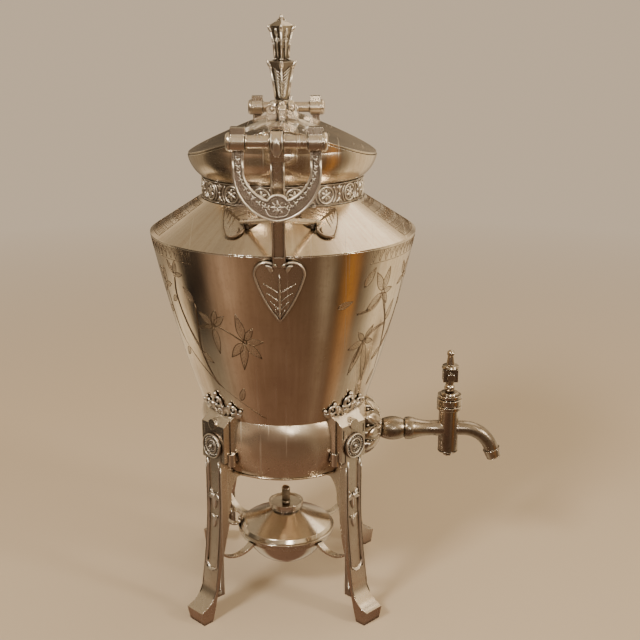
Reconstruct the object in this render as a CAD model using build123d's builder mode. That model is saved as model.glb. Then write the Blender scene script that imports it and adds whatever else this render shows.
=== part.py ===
from build123d import *
from math import cos, hypot, radians, sin, sqrt
import os

# A hot-water urn of silver plate: a conical body on four legs, a lid bent to a saddle, two drop
# handles, a tap on the right and a spirit lamp underneath. Millimetres, +Z up. The origin is on the
# urn's axis, level with the soles of the feet, and the tap points along +X.

# Heights of the urn, from the floor upwards
bowl_z = 111.8
bowl_height = 42.2
cone_height = 129.1
shoulder_height = 24.6
band_height = 14.9
collar_height = 35.9
waist_z = bowl_z + bowl_height
crease_z = waist_z + cone_height
neck_z = crease_z + shoulder_height
band_top_z = neck_z + band_height
collar_top_z = band_top_z + collar_height

# Shells
sheet = 1.2
base_radius = 56.2
bowl_bulge = 5.1
waist_radius = 60.3
crease_radius = 95.2
flank_bulge = 2.2
crease_lip = 1.0
neck_radius = 57.1
landing_step = 1.2
band_wall = 1.5
band_bead = 0.6
band_bead_height = 1.6
mouth_radius = 67.0
mouth_bend_radius = 63.8
mouth_bend_rise = 6.9
mouth_bend_top = 22.4
ring_below_bowl = 1.6
ring_wall = 3.6
ring_proud = 0.6

# Saddle of the mouth and the lid: a gable along Y with a rounded ridge
gable_slope = 0.37
ridge_radius = 50.0
lid_radius = 66.3
lid_rise = 1.3
lid_gap = 0.3
bezel_radius = 61.2
bezel_wall = 1.2
bezel_depth = 8.0

# Finial, heights above the lid's ridge
stud_radius = 2.0
stud_clearance = 0.08
finial_base_height = 14.0
finial_base_radius = 4.3
finial_base_cap = 1.0
curl_radius = 4.0
curl_eye = 1.7
curl_reach = 7.2
curl_width = 4.0
curl_rise = 7.8
claw_reach = 12.0
finial_sections = [
    (0.0, 4.2),
    (21.8, 7.8),
    (26.0, 9.9),
    (27.2, 4.7),
    (35.0, 4.7),
    (37.0, 5.6),
    (43.0, 6.0),
    (50.0, 8.7),
    (53.8, 2.2),
    (57.4, 0.5),
]
nut_radius = 5.0
nut_height = 2.6
washer_height = 0.8
washer_radius = 5.6
stud_below_nut = 1.2

# Drop handles
bar_stand_off = 19.0
bar_rise = 36.3
bar_radius = 4.0
bar_half = 27.9
bar_clearance = 0.05
cap_radius = 6.0
cap_depth = 2.9
cap_rounding = 2.4
post_half_width = 4.35
post_depth = 3.5
post_foot_drop = 6.1
post_foot_proud = 3.4
post_top_proud = 13.8
post_groove_top_drop = 13.0
post_groove = 0.6
post_rim = 1.1
tongue_rise = 9.1
eye_radius = 6.5
eye_half_width = 3.75
eye_chin_inset = 1.0
eye_chin_drop = 2.0
leaf_tip_drop = 9.0
bail_centre = 23.4
bail_collar_width = 8.5
bail_collar_radius = 6.0
bail_lug_height = 8.9
bail_lug_depth = 8.0
bail_arm_inner = 20.1
bail_arm_outer = 26.9
bail_depth = 3.2
bail_drop = 48.7
bail_inner_drop = 31.6
bail_straight = 20.0
bail_rim = 1.2
bail_recess = 0.5
bail_cusp_half = 6.4
bail_cusp_drop = 3.4
bail_notch_half = 3.6
bail_notch_drop = 0.9
# Bends of the horseshoe, as (share of the arm's reach, share of the way down)
bail_outer_bend = (0.76, 0.6)
bail_inner_bend = (0.74, 0.62)

# Heart leaves; the outline's points are (share of the length, share of the half width)
heart_lobe = (-0.12, 0.52)
heart_widest = (0.14, 1.0)
heart_flank = (0.56, 0.64)
heart_notch_drop = 6.7
heart_length = 39.0
heart_half_width = 17.0
heart_depth = 2.0
brace_notch_inset = 24.2
brace_notch_side = 23.0
brace_tip_inset = 44.7
brace_tip_side = 37.5
brace_half_width = 13.0
brace_depth = 2.0
brace_stem_radius = 1.8
brace_stem_inlet = 4.0
brace_stem_rise = 25.9
brace_stem_side = 3.0

# Legs, in the upright plane of each leg: reach from the axis and height above the floor
leg_azimuths = (45.0, 135.0, 225.0, 315.0)
leg_stand_off = 11.2
leg_half_width = 8.2
leg_depth = 6.4
leg_top_rise = 23.4
leg_straight_drop = 19.8
plate_back_drop = 26.8
calf = (2.0, 61.0)
ankle = (6.5, 29.3)
instep = (11.4, 16.6)
toe = (22.0, 11.0)
sole_out = 19.5
heel = (6.5, 17.7)
shin_back = (0.3, 46.5)
calf_back = (-3.3, 60.0)
web_half_width = 4.3
web_inner_inset = 27.5
web_arch_inset = 19.2
web_arch_middle = (-14.3, 12.0)
web_arch_end = (-12.9, 22.0)
web_sweep_middle = (-9.6, 34.3)
web_foot = (-2.6, 55.0)
web_into_plate = 3.0
web_rise = 6.0
panel_half_width = 5.6
panel_depth = 0.8
panel_foot = (4.5, 38.5)
panel_top_drop = 10.6

# Knee blocks, roundels and the leaves above them
knee_inset = 0.5
knee_half_width = 12.0
knee_wing_half_width = 14.6
knee_side_depth = 5.6
knee_step = 1.0
knee_wing_inset = 2.0
knee_foot_rise = 12.2
knee_front_drop = 2.5
knee_roof_rise = 8.0
knee_slot_width = 0.9
knee_slot_depth = 1.2
knee_slot_length = 7.0
knee_slot_drop = 8.5
knee_boss_radius = 3.9
knee_boss_proud = 0.9
knee_boss_height = 13.0
claw_radius = 3.2
claw_height = 9.5
roundel_radius = 9.2
roundel_base = 0.9
roundel_relief = 0.7
# Raised rings and centre of the roundel, as shares of its radius
roundel_rings = ((1.0, 0.87), (0.66, 0.5))
roundel_centre = 0.2
# Sprig above the knee, as (sideways, upwards) from the boss, with radii and lengths
sprig_depth = 2.6
sprig_foot = (4.0, -3.0)
sprig_side = (9.0, 6.0)
sprig_shoulder = (5.0, 13.0)
sprig_dip = 10.0
scroll_place = (6.0, 9.5)
scroll_radius = 3.8
scroll_eye = 1.5
berry_radius = 1.9
berry_place = (3.2, 16.2)
stalk_place = (4.4, 13.5)
stalk_size = (1.8, 4.5)
lobe_place = (12.0, 5.5)
lobe_size = (6.0, 3.4)
lobe_turn = 20.0
outer_berry_place = (18.2, 7.6)

# Tap
tap_rise = 15.9
tap_reach = 124.6
shank_radius = 4.8
shank_clearance = 0.08
shank_inlet = 11.85
tap_bore = 3.6
escutcheon_rise = 3.6
escutcheon_radius = 17.5
escutcheon_lobes = 10
escutcheon_lobe_radius = 5.4
escutcheon_proud = 9.05
escutcheon_hub_radius = 7.4
escutcheon_edge_inset = 2.05
escutcheon_swell = 4.55
escutcheon_swell_rise = 2.0
barrel_foot_drop = 18.4
barrel_top_rise = 27.5
barrel_radius = 7.6
plug_foot_radius = 4.3
plug_head_radius = 5.6
plug_clearance = 0.05
plug_port = 3.3
plug_end_radius = 1.8
plug_nut_radius = 3.4
plug_washer_radius = 4.6
plug_end_length = 3.4
handle_gap = 0.25
# Swellings of the pipe, as (distance from the escutcheon's face, radius)
pipe_pear = ((0.0, 6.5), (9.5, 9.0), (17.4, 7.4))
pipe_groove = ((17.4, 7.4), (18.2, 6.8), (19.0, 8.2))
pipe_bead = ((19.0, 8.2), (22.5, 8.65), (25.8, 7.9))
pipe_end_radius = 6.8
# Waist of the pipe, as (share of the way from the bead to the barrel, radius)
pipe_neck = (0.434, 5.9)
# Outline of the barrel, as (height above the pipe's axis, radius), and of its foot
barrel_foot_radius = 6.4
barrel_foot_rise = 1.6
barrel_rings = [
    (15.3, 7.6),
    (15.9, 9.3),
    (18.4, 9.3),
    (19.2, 8.3),
    (20.0, 9.3),
    (24.0, 9.3),
    (24.8, 8.0),
    (25.4, 8.9),
]
# Outline of the turning handle, as (height above its foot, radius)
handle_foot = [(0.0, 7.0), (1.6, 6.4), (2.0, 3.0)]
handle_bulb = ((2.0, 3.0), (4.6, 4.1), (7.4, 3.1))
handle_spindle = [(7.4, 3.1), (10.4, 3.4), (20.6, 3.4), (21.0, 6.6), (22.8, 6.0), (23.4, 3.3)]
handle_ball_rise = 31.9
handle_ball_radius = 2.9
handle_ball_neck = 2.2
handle_block = (11.0, 8.0, 9.6)
handle_block_rise = 10.4
handle_knob_radius = 2.9
handle_knob_rise = 14.6
handle_knob_reach = 7.0
shank_nut_radius = 8.0
shank_nut_inset = 1.2
shank_nut_depth = 2.6
shank_washer_radius = 9.0
spout_radius = 5.5
spout_lip_radius = 6.6
spout_mouth_radius = 5.5
spout_level_length = 10.6
spout_bend = 24.0
spout_turn = 72.0
spout_drop_length = 7.5
spout_lip_depth = 7.0
spout_mouth_ease = 0.4

# Spirit lamp and its carrier
carrier_z = 44.6
carrier_outer = 35.6
carrier_inner = 33.2
carrier_depth = 2.6
arm_half_width = 2.5
arm_depth = 1.5
arm_dip = 3.2
arm_root = 2.0
arm_middle_out = 14.4
arm_knee_inset = 7.5
arm_knee_lean = 0.6
arm_knee_rise = 1.4
arm_end_rise = 13.0
arm_seat = 1.0
lamp_gap = 0.3
lamp_sheet = 1.0
lamp_rim_radius = 37.4
lamp_rim_depth = 2.6
lamp_body_radius = 32.6
lamp_foot_radius = 13.9
lamp_foot_z = 21.4
lamp_swell_inset = 5.6
lamp_swell_rise = 10.0
cover_step_radius = 35.6
cover_band_height = 3.0
cover_band_radius = 34.2
cover_neck_radius = 11.6
cover_neck_z = 62.0
burner_radius = 13.4
burner_height = 3.6
burner_gap_rise = 2.0
burner_plug_depth = 5.0
burner_edge = 0.8
burner_rim = 1.6
burner_dish_slope = 0.6
wick_tube_radius = 3.0
wick_radius = 2.3
wick_tube_top_z = 78.4
wick_rise = 1.6
burner_clearance = 0.08
ring_handle_radius = 6.6
ring_handle_strap = 1.4
ring_handle_half_width = 2.3
ring_handle_sink = 3.4
ring_handle_z = 53.4

# Places worked out from the sizes above
heart_notch_z = crease_z - heart_notch_drop
leg_face = waist_radius + leg_stand_off
leg_top_z = bowl_z + leg_top_rise
knee_face = leg_face - knee_inset
knee_foot_z = bowl_z + knee_foot_rise
knee_front_z = waist_z - knee_front_drop
knee_slot_z = waist_z - knee_slot_drop
bar_reach = crease_radius + bar_stand_off
bar_z = band_top_z + bar_rise
tap_z = bowl_z + tap_rise
bowl_reach = (base_radius + waist_radius) / 2 + bowl_bulge
shank_inner_reach = bowl_reach - shank_inlet
escutcheon_face = bowl_reach + escutcheon_proud
spout_level_reach = tap_reach + spout_level_length
gable_peak_z = collar_top_z + ridge_radius * (sqrt(1 + gable_slope ** 2) - 1)
gable_reach = crease_radius
ridge_top_z = collar_top_z + lid_gap + lid_rise
ring_z = bowl_z - ring_below_bowl
ring_radius = base_radius + ring_proud
shoulder_wall = sheet * hypot(shoulder_height, crease_radius - neck_radius) / shoulder_height
far = 2 * crease_radius

os.makedirs("parts", exist_ok=True)


def finish(builder, name):
    """Label a finished piece and write it to its own file."""
    builder.part.label = name
    export_step(builder.part, f"parts/{name}.step")


def radial_plane(azimuth, side=0.0):
    """Upright plane through the axis: local x runs outwards, local y upwards."""
    across = (sin(radians(azimuth)), -cos(radians(azimuth)), 0)
    return Plane(
        origin=(side * across[0], side * across[1], 0),
        x_dir=(cos(radians(azimuth)), sin(radians(azimuth)), 0),
        z_dir=across,
    )


def facing_plane(azimuth, reach, height):
    """Upright plane that faces outwards: local x runs sideways, local y upwards."""
    out = (cos(radians(azimuth)), sin(radians(azimuth)), 0)
    return Plane(origin=(reach * out[0], reach * out[1], height), x_dir=(-out[1], out[0], 0), z_dir=out)


def plan_plane(azimuth, height):
    """Level plane: local x runs outwards, local y sideways."""
    return Plane(
        origin=(0, 0, height), x_dir=(cos(radians(azimuth)), sin(radians(azimuth)), 0), z_dir=(0, 0, 1)
    )


def across_plane(reach, height):
    """Upright plane across the urn beside the tap: local x runs outwards, normal sideways."""
    return Plane(origin=(reach, 0, height), x_dir=(1, 0, 0), z_dir=(0, 1, 0))


def bulged(start, end, bulge):
    """Arc from start to end whose middle stands off the chord by bulge, to the right of the way."""
    run, rise = end[0] - start[0], end[1] - start[1]
    length = hypot(run, rise)
    middle = ((start[0] + end[0]) / 2 + bulge * rise / length, (start[1] + end[1]) / 2 - bulge * run / length)
    return ThreePointArc(start, middle, end)


def gable_line(lift):
    """The saddle's section: two straight flanks and a rounded ridge, raised by lift."""
    eaves_z = gable_peak_z + lift - gable_slope * gable_reach
    return FilletPolyline(
        (-gable_reach, eaves_z), (0, gable_peak_z + lift), (gable_reach, eaves_z), radius=ridge_radius
    )


def gable_strip(lower, upper):
    """Closed outline between two heights of the saddle."""
    gable_line(lower)
    gable_line(upper)
    for side in (-gable_reach, gable_reach):
        eaves_z = gable_peak_z - gable_slope * gable_reach
        Line((side, eaves_z + lower), (side, eaves_z + upper))


def heart_outline(notch, tip, half_width):
    """Closed heart: two lobes beside the notch that run to a point at the tip."""
    length = hypot(tip[0] - notch[0], tip[1] - notch[1])
    along = ((tip[0] - notch[0]) / length, (tip[1] - notch[1]) / length)

    def spot(share, side):
        """Point at a share of the length, and at a share of the half width to one side."""
        return (
            notch[0] + along[0] * share * length - along[1] * side * half_width,
            notch[1] + along[1] * share * length + along[0] * side * half_width,
        )

    for side in (-1, 1):
        lobe = spot(heart_lobe[0], side * heart_lobe[1])
        widest = spot(heart_widest[0], side * heart_widest[1])
        flank = spot(heart_flank[0], side * heart_flank[1])
        ThreePointArc(notch, lobe, widest)
        ThreePointArc(widest, flank, tip)


# Outer form of the urn up to the neck, filled: what is seated on the urn is cut to it
with BuildPart() as envelope:
    with BuildSketch(Plane.XZ):
        with BuildLine():
            Polyline((0, ring_z), (ring_radius, ring_z), (ring_radius, bowl_z), (base_radius, bowl_z))
            bulged((base_radius, bowl_z), (waist_radius, waist_z), bowl_bulge)
            bulged((waist_radius, waist_z), (crease_radius, crease_z), flank_bulge)
            Polyline(
                (crease_radius, crease_z),
                (crease_radius, crease_z + crease_lip),
                (neck_radius + landing_step, neck_z),
                (0, neck_z),
                (0, ring_z),
            )
        make_face()
    revolve(axis=Axis.Z)

# Bowl's inner space, for what is seated on the inside of its wall
with BuildPart() as bowl_inside:
    with BuildSketch(Plane.XZ):
        with BuildLine():
            Line((0, bowl_z + sheet), (base_radius - sheet, bowl_z + sheet))
            bulged((base_radius - sheet, bowl_z + sheet), (waist_radius - sheet, waist_z), bowl_bulge)
            Polyline((waist_radius - sheet, waist_z), (0, waist_z), (0, bowl_z + sheet))
        make_face()
    revolve(axis=Axis.Z)

# Lower bowl, with the hole for the tap's shank
with BuildPart() as lower_bowl:
    with BuildSketch(Plane.XZ):
        with BuildLine():
            Line((0, bowl_z), (base_radius, bowl_z))
            bulged((base_radius, bowl_z), (waist_radius, waist_z), bowl_bulge)
            Polyline((waist_radius, waist_z), (0, waist_z), (0, bowl_z))
        make_face()
    revolve(axis=Axis.Z)
    add(bowl_inside.part, mode=Mode.SUBTRACT)
    with BuildSketch(facing_plane(0, 0, tap_z)):
        Circle(shank_radius + shank_clearance)
    extrude(amount=far, mode=Mode.SUBTRACT)
finish(lower_bowl, "lower_bowl")

with BuildPart() as base_ring:
    with BuildSketch(Plane.XY.offset(ring_z)):
        Circle(ring_radius)
        Circle(ring_radius - ring_wall, mode=Mode.SUBTRACT)
    extrude(amount=ring_below_bowl)
    fillet(base_ring.edges().filter_by(GeomType.CIRCLE).sort_by(SortBy.RADIUS)[-2:], ring_below_bowl / 3)
finish(base_ring, "base_ring")

# Conical body
with BuildPart() as body_shell:
    with BuildSketch(Plane.XZ):
        with BuildLine():
            bulged((waist_radius, waist_z), (crease_radius, crease_z), flank_bulge)
            Line((crease_radius, crease_z), (crease_radius - sheet, crease_z))
            bulged((crease_radius - sheet, crease_z), (waist_radius - sheet, waist_z), -flank_bulge)
            Line((waist_radius - sheet, waist_z), (waist_radius, waist_z))
        make_face()
    revolve(axis=Axis.Z)
finish(body_shell, "body_shell")

# Shoulder, from the crease up to the landing that carries the band
with BuildPart() as shoulder:
    with BuildSketch(Plane.XZ):
        with BuildLine():
            Polyline(
                (crease_radius, crease_z),
                (crease_radius, crease_z + crease_lip),
                (neck_radius + landing_step, neck_z),
                (neck_radius - 2 * band_wall, neck_z),
                (neck_radius - 2 * band_wall, neck_z - sheet),
                (neck_radius + landing_step - shoulder_wall, neck_z - sheet),
                (crease_radius - shoulder_wall, crease_z),
                close=True,
            )
        make_face()
    revolve(axis=Axis.Z)
finish(shoulder, "shoulder")

# Band round the neck, with a bead along each edge
with BuildPart() as neck_band:
    with BuildSketch(Plane.XZ):
        with BuildLine():
            bead_top = neck_z + band_bead_height
            bead_foot = band_top_z - band_bead_height
            Polyline(
                (neck_radius, band_top_z),
                (neck_radius - band_wall, band_top_z),
                (neck_radius - band_wall, neck_z),
                (neck_radius, neck_z),
            )
            ThreePointArc(
                (neck_radius, neck_z),
                (neck_radius + band_bead, (neck_z + bead_top) / 2),
                (neck_radius, bead_top),
            )
            Line((neck_radius, bead_top), (neck_radius, bead_foot))
            ThreePointArc(
                (neck_radius, bead_foot),
                (neck_radius + band_bead, (band_top_z + bead_foot) / 2),
                (neck_radius, band_top_z),
            )
        make_face()
    revolve(axis=Axis.Z)
finish(neck_band, "neck_band")

# Mouth collar, flared and cut to the saddle
with BuildPart() as mouth_collar:
    with BuildSketch(Plane.XZ):
        with BuildLine():
            bend_z = band_top_z + mouth_bend_rise
            upright_z = band_top_z + mouth_bend_top
            ThreePointArc((neck_radius, band_top_z), (mouth_bend_radius, bend_z), (mouth_radius, upright_z))
            Polyline(
                (mouth_radius, upright_z),
                (mouth_radius, collar_top_z + sheet),
                (mouth_radius - sheet, collar_top_z + sheet),
                (mouth_radius - sheet, upright_z),
            )
            ThreePointArc(
                (mouth_radius - sheet, upright_z),
                (mouth_bend_radius - sheet, bend_z),
                (neck_radius - sheet, band_top_z),
            )
            Line((neck_radius - sheet, band_top_z), (neck_radius, band_top_z))
        make_face()
    revolve(axis=Axis.Z)
    with BuildSketch(Plane.XZ):
        with BuildLine():
            gable_strip(-far, 0)
        make_face()
    extrude(amount=gable_reach, both=True, mode=Mode.INTERSECT)
finish(mouth_collar, "mouth_collar")

# Lid, bent to the same saddle
with BuildPart() as lid_shell:
    with BuildSketch(Plane.XZ):
        with BuildLine():
            gable_strip(lid_gap, lid_gap + lid_rise)
        make_face()
    extrude(amount=gable_reach, both=True)
    with BuildSketch(Plane.XY):
        Circle(lid_radius)
        Circle(stud_radius + stud_clearance, mode=Mode.SUBTRACT)
    extrude(amount=2 * collar_top_z, mode=Mode.INTERSECT)
finish(lid_shell, "lid_shell")

with BuildPart() as lid_bezel:
    with BuildSketch(Plane.XZ):
        with BuildLine():
            gable_strip(lid_gap - bezel_depth, lid_gap)
        make_face()
    extrude(amount=gable_reach, both=True)
    with BuildSketch(Plane.XY):
        Circle(bezel_radius)
        Circle(bezel_radius - bezel_wall, mode=Mode.SUBTRACT)
    extrude(amount=2 * collar_top_z, mode=Mode.INTERSECT)
finish(lid_bezel, "lid_bezel")

# Base of the finial: a core with four curled leaves that stand on the lid
base_top_z = ridge_top_z + finial_base_height
with BuildPart() as finial_base:
    with BuildSketch(Plane.XY.offset(ridge_top_z - finial_base_height)):
        Circle(finial_base_radius)
    extrude(amount=2 * finial_base_height)
    for turn in range(4):
        azimuth = turn * 90.0
        curl_z = ridge_top_z + curl_rise
        with BuildSketch(radial_plane(azimuth)):
            with Locations((curl_reach, curl_z)):
                Circle(curl_radius)
            with BuildLine():
                Polyline(
                    (finial_base_radius / 2, base_top_z - finial_base_cap),
                    (curl_reach, curl_z + curl_radius),
                    (curl_reach + curl_radius, curl_z),
                    (claw_reach, ridge_top_z - finial_base_height),
                    (finial_base_radius / 2, ridge_top_z - finial_base_height),
                    close=True,
                )
            make_face()
            with Locations((curl_reach, curl_z)):
                Circle(curl_eye, mode=Mode.SUBTRACT)
        extrude(amount=curl_width / 2, both=True)
    with BuildSketch(Plane.XZ):
        with BuildLine():
            gable_strip(-far, lid_gap + lid_rise)
        make_face()
    extrude(amount=gable_reach, both=True, mode=Mode.SUBTRACT)
    with BuildSketch(Plane.XY):
        Circle(stud_radius + stud_clearance)
    extrude(amount=2 * collar_top_z, mode=Mode.SUBTRACT)
finish(finial_base, "finial_base")

# Finial: a square blade that widens upwards, a leaf collar, a shaft and a flared top with a point;
# its stud passes through the base and the lid
washer_sag = ridge_radius - sqrt(ridge_radius ** 2 - washer_radius ** 2)
washer_top_z = collar_top_z + lid_gap - washer_sag
nut_top_z = washer_top_z - washer_height
stud_foot_z = nut_top_z - nut_height - stud_below_nut
with BuildPart() as finial:
    for rise, half_diagonal in finial_sections:
        with BuildSketch(Plane.XY.offset(base_top_z + rise)):
            RegularPolygon(radius=half_diagonal, side_count=4)
    loft(ruled=True)
    with BuildSketch(Plane.XY.offset(stud_foot_z)):
        Circle(stud_radius)
    extrude(amount=base_top_z - stud_foot_z)
finish(finial, "finial")

with BuildPart() as finial_washer:
    with BuildSketch(Plane.XY.offset(nut_top_z)):
        Circle(washer_radius)
        Circle(stud_radius + stud_clearance, mode=Mode.SUBTRACT)
    extrude(amount=washer_height)
finish(finial_washer, "finial_washer")

with BuildPart() as finial_nut:
    with BuildSketch(Plane.XY.offset(nut_top_z - nut_height)):
        RegularPolygon(radius=nut_radius, side_count=6)
        Circle(stud_radius + stud_clearance, mode=Mode.SUBTRACT)
    extrude(amount=nut_height)
finish(finial_nut, "finial_nut")


def make_post(azimuth):
    """Strap from the heart leaf up to the bar's eye, with a tongue behind the bar."""
    foot_face = (crease_radius + post_foot_proud, crease_z)
    top_face = (crease_radius + post_top_proud, bar_z - post_groove_top_drop)
    lean = (top_face[0] - foot_face[0]) / (top_face[1] - foot_face[1])
    tongue_z = bar_z + tongue_rise
    strap_top = (foot_face[0] + lean * (tongue_z - foot_face[1]), tongue_z)
    with BuildPart() as post:
        with BuildSketch(radial_plane(azimuth)):
            with BuildLine():
                Polyline(
                    (crease_radius - post_depth, crease_z - post_foot_drop),
                    (crease_radius + post_foot_proud / 2, crease_z - post_foot_drop),
                    foot_face,
                    strap_top,
                    (strap_top[0] - post_depth, tongue_z),
                    (foot_face[0] - post_depth, crease_z + crease_lip),
                    (crease_radius - 2 * post_depth, crease_z - post_depth),
                    close=True,
                )
            make_face()
        extrude(amount=post_half_width, both=True)
        with BuildSketch(radial_plane(azimuth)):
            with BuildLine():
                Polyline(
                    (foot_face[0] - post_groove, crease_z + crease_lip),
                    (foot_face[0] + post_depth, crease_z + crease_lip),
                    (top_face[0] + post_depth, top_face[1]),
                    (top_face[0] - post_groove, top_face[1]),
                    close=True,
                )
            make_face()
        extrude(amount=post_half_width - post_rim, both=True, mode=Mode.SUBTRACT)
        with BuildSketch(radial_plane(azimuth)):
            with Locations((bar_reach, bar_z)):
                Circle(eye_radius)
            with BuildLine():
                Polyline(
                    (bar_reach - eye_radius / 2, bar_z),
                    (bar_reach + eye_radius - eye_chin_inset, bar_z - eye_chin_drop),
                    (bar_reach + bar_radius, bar_z - leaf_tip_drop),
                    (bar_reach - eye_radius, bar_z - leaf_tip_drop + eye_chin_drop),
                    close=True,
                )
            make_face()
        extrude(amount=eye_half_width, both=True)
        with BuildSketch(radial_plane(azimuth)):
            with Locations((bar_reach, bar_z)):
                Circle(bar_radius + bar_clearance)
        extrude(amount=far, both=True, mode=Mode.SUBTRACT)
        add(envelope.part, mode=Mode.SUBTRACT)
    return post


def make_heart_leaf(azimuth):
    """Leaf that lies on the conical body below the post."""
    with BuildPart() as leaf:
        with BuildSketch(Plane.XZ):
            with BuildLine():
                bulged((waist_radius, waist_z), (crease_radius, crease_z), flank_bulge)
                Line((crease_radius, crease_z), (crease_radius + heart_depth, crease_z))
                bulged(
                    (crease_radius + heart_depth, crease_z),
                    (waist_radius + heart_depth, waist_z),
                    -flank_bulge,
                )
                Line((waist_radius + heart_depth, waist_z), (waist_radius, waist_z))
            make_face()
        revolve(axis=Axis.Z)
        with BuildSketch(facing_plane(azimuth, 0, 0)):
            with BuildLine():
                heart_outline((0, heart_notch_z), (0, heart_notch_z - heart_length), heart_half_width)
            make_face()
        extrude(amount=far, mode=Mode.INTERSECT)
    return leaf


def make_brace_leaf(azimuth, side, post):
    """Leaf on the shoulder, with a stem that runs up to the back of the post."""
    notch = (crease_radius - brace_notch_inset, side * brace_notch_side)
    tip = (crease_radius - brace_tip_inset, side * brace_tip_side)
    length = hypot(tip[0] - notch[0], tip[1] - notch[1])
    share = brace_stem_inlet / length
    root = (notch[0] + share * (tip[0] - notch[0]), notch[1] + share * (tip[1] - notch[1]))
    slope = (shoulder_height - crease_lip) / (crease_radius - neck_radius - landing_step)
    root_z = crease_z + crease_lip + slope * (crease_radius - hypot(*root))
    plan = plan_plane(azimuth, 0)
    start = plan.from_local_coords(Vector(root[0], root[1], root_z + brace_depth))
    end = plan.from_local_coords(
        Vector(
            crease_radius + post_foot_proud + post_depth,
            side * brace_stem_side,
            crease_z + brace_stem_rise,
        )
    )
    with BuildPart() as leaf:
        with BuildSketch(Plane.XZ):
            with BuildLine():
                Polyline(
                    (crease_radius, crease_z + crease_lip),
                    (crease_radius, crease_z + crease_lip + brace_depth),
                    (neck_radius + landing_step, neck_z + brace_depth),
                    (neck_radius + landing_step, neck_z),
                    close=True,
                )
            make_face()
        revolve(axis=Axis.Z)
        with BuildSketch(plan_plane(azimuth, 0)):
            with BuildLine():
                heart_outline(notch, tip, brace_half_width)
            make_face()
        extrude(amount=2 * neck_z, mode=Mode.INTERSECT)
        with BuildSketch(Plane(origin=start, z_dir=end - start)):
            Circle(brace_stem_radius)
        extrude(amount=(end - start).length)
        add(envelope.part, mode=Mode.SUBTRACT)
        add(post.part, mode=Mode.SUBTRACT)
    return leaf


def make_bar(azimuth):
    """Round bar in the post's eye, on which the bail swings."""
    with BuildPart() as bar:
        with BuildSketch(radial_plane(azimuth)):
            with Locations((bar_reach, bar_z)):
                Circle(bar_radius)
        extrude(amount=bar_half, both=True)
    return bar


def make_bar_caps(azimuth):
    """Domed caps on both ends of the bar."""
    with BuildPart() as caps:
        for side in (-1, 1):
            with BuildSketch(radial_plane(azimuth, side * bar_half)):
                with Locations((bar_reach, bar_z)):
                    Circle(cap_radius)
            extrude(amount=side * cap_depth)
        outer = caps.edges().filter_by(GeomType.CIRCLE)
        hub = plan_plane(azimuth, bar_z)
        crown_side = bar_half + cap_depth / 2
        crowns = [edge for edge in outer if abs(hub.to_local_coords(edge.center()).Y) > crown_side]
        fillet(crowns, cap_rounding)
    return caps


def make_bail(azimuth):
    """Swinging bail: a horseshoe that hangs from two collars with a square lug on each."""
    outer_foot = bar_z - bail_drop
    inner_foot = bar_z - bail_inner_drop
    straight_z = bar_z - bail_straight
    cusp_z = inner_foot - bail_cusp_drop
    outer_bend_z = straight_z - (straight_z - outer_foot) * bail_outer_bend[1]
    inner_bend_z = straight_z - (straight_z - cusp_z) * bail_inner_bend[1]
    with BuildPart() as bail:
        with BuildSketch(facing_plane(azimuth, bar_reach - bail_depth / 2, 0)) as horseshoe:
            with BuildLine():
                for side in (-1, 1):
                    Polyline(
                        (side * bail_arm_inner, straight_z),
                        (side * bail_arm_inner, bar_z),
                        (side * bail_arm_outer, bar_z),
                        (side * bail_arm_outer, straight_z),
                    )
                    ThreePointArc(
                        (side * bail_arm_outer, straight_z),
                        (side * bail_arm_outer * bail_outer_bend[0], outer_bend_z),
                        (0, outer_foot),
                    )
                    ThreePointArc(
                        (side * bail_arm_inner, straight_z),
                        (side * bail_arm_inner * bail_inner_bend[0], inner_bend_z),
                        (side * bail_cusp_half, cusp_z),
                    )
                    ThreePointArc(
                        (side * bail_cusp_half, cusp_z),
                        (side * bail_notch_half, inner_foot - bail_notch_drop),
                        (0, inner_foot),
                    )
            make_face()
        extrude(amount=bail_depth)
        for face_reach in (bar_reach + bail_depth / 2 - bail_recess, bar_reach - bail_depth / 2):
            with BuildSketch(facing_plane(azimuth, face_reach, 0)):
                add(horseshoe.sketch_local)
                offset(amount=-bail_rim)
            extrude(amount=bail_recess, mode=Mode.SUBTRACT)
        for side in (-1, 1):
            with BuildSketch(radial_plane(azimuth, side * bail_centre)):
                with Locations((bar_reach, bar_z)):
                    Circle(bail_collar_radius)
                with Locations((bar_reach, bar_z + bail_lug_height / 2)):
                    Rectangle(bail_lug_depth, bail_lug_height)
            extrude(amount=bail_collar_width / 2, both=True)
        with BuildSketch(radial_plane(azimuth)):
            with Locations((bar_reach, bar_z)):
                Circle(bar_radius + bar_clearance)
        extrude(amount=far, both=True, mode=Mode.SUBTRACT)
    return bail


for word, azimuth in (("front", 270.0), ("back", 90.0)):
    handle_post = make_post(azimuth)
    heart_leaf = make_heart_leaf(azimuth)
    with BuildPart() as seated_post:
        add(handle_post.part)
        add(heart_leaf.part, mode=Mode.SUBTRACT)
    finish(seated_post, f"{word}_handle_post")
    finish(heart_leaf, f"{word}_heart_leaf")
    finish(make_brace_leaf(azimuth, -1, seated_post), f"{word}_brace_leaf_a")
    finish(make_brace_leaf(azimuth, 1, seated_post), f"{word}_brace_leaf_b")
    finish(make_bar(azimuth), f"{word}_handle_bar")
    finish(make_bar_caps(azimuth), f"{word}_bar_caps")
    finish(make_bail(azimuth), f"{word}_bail")


def from_leg(point):
    """A leg's point, given from its straight face and the floor."""
    return (leg_face + point[0], point[1])


def under_bowl(point):
    """A web's point, given from the leg's straight face and down from the bowl."""
    return (leg_face + point[0], bowl_z - point[1])


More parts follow.
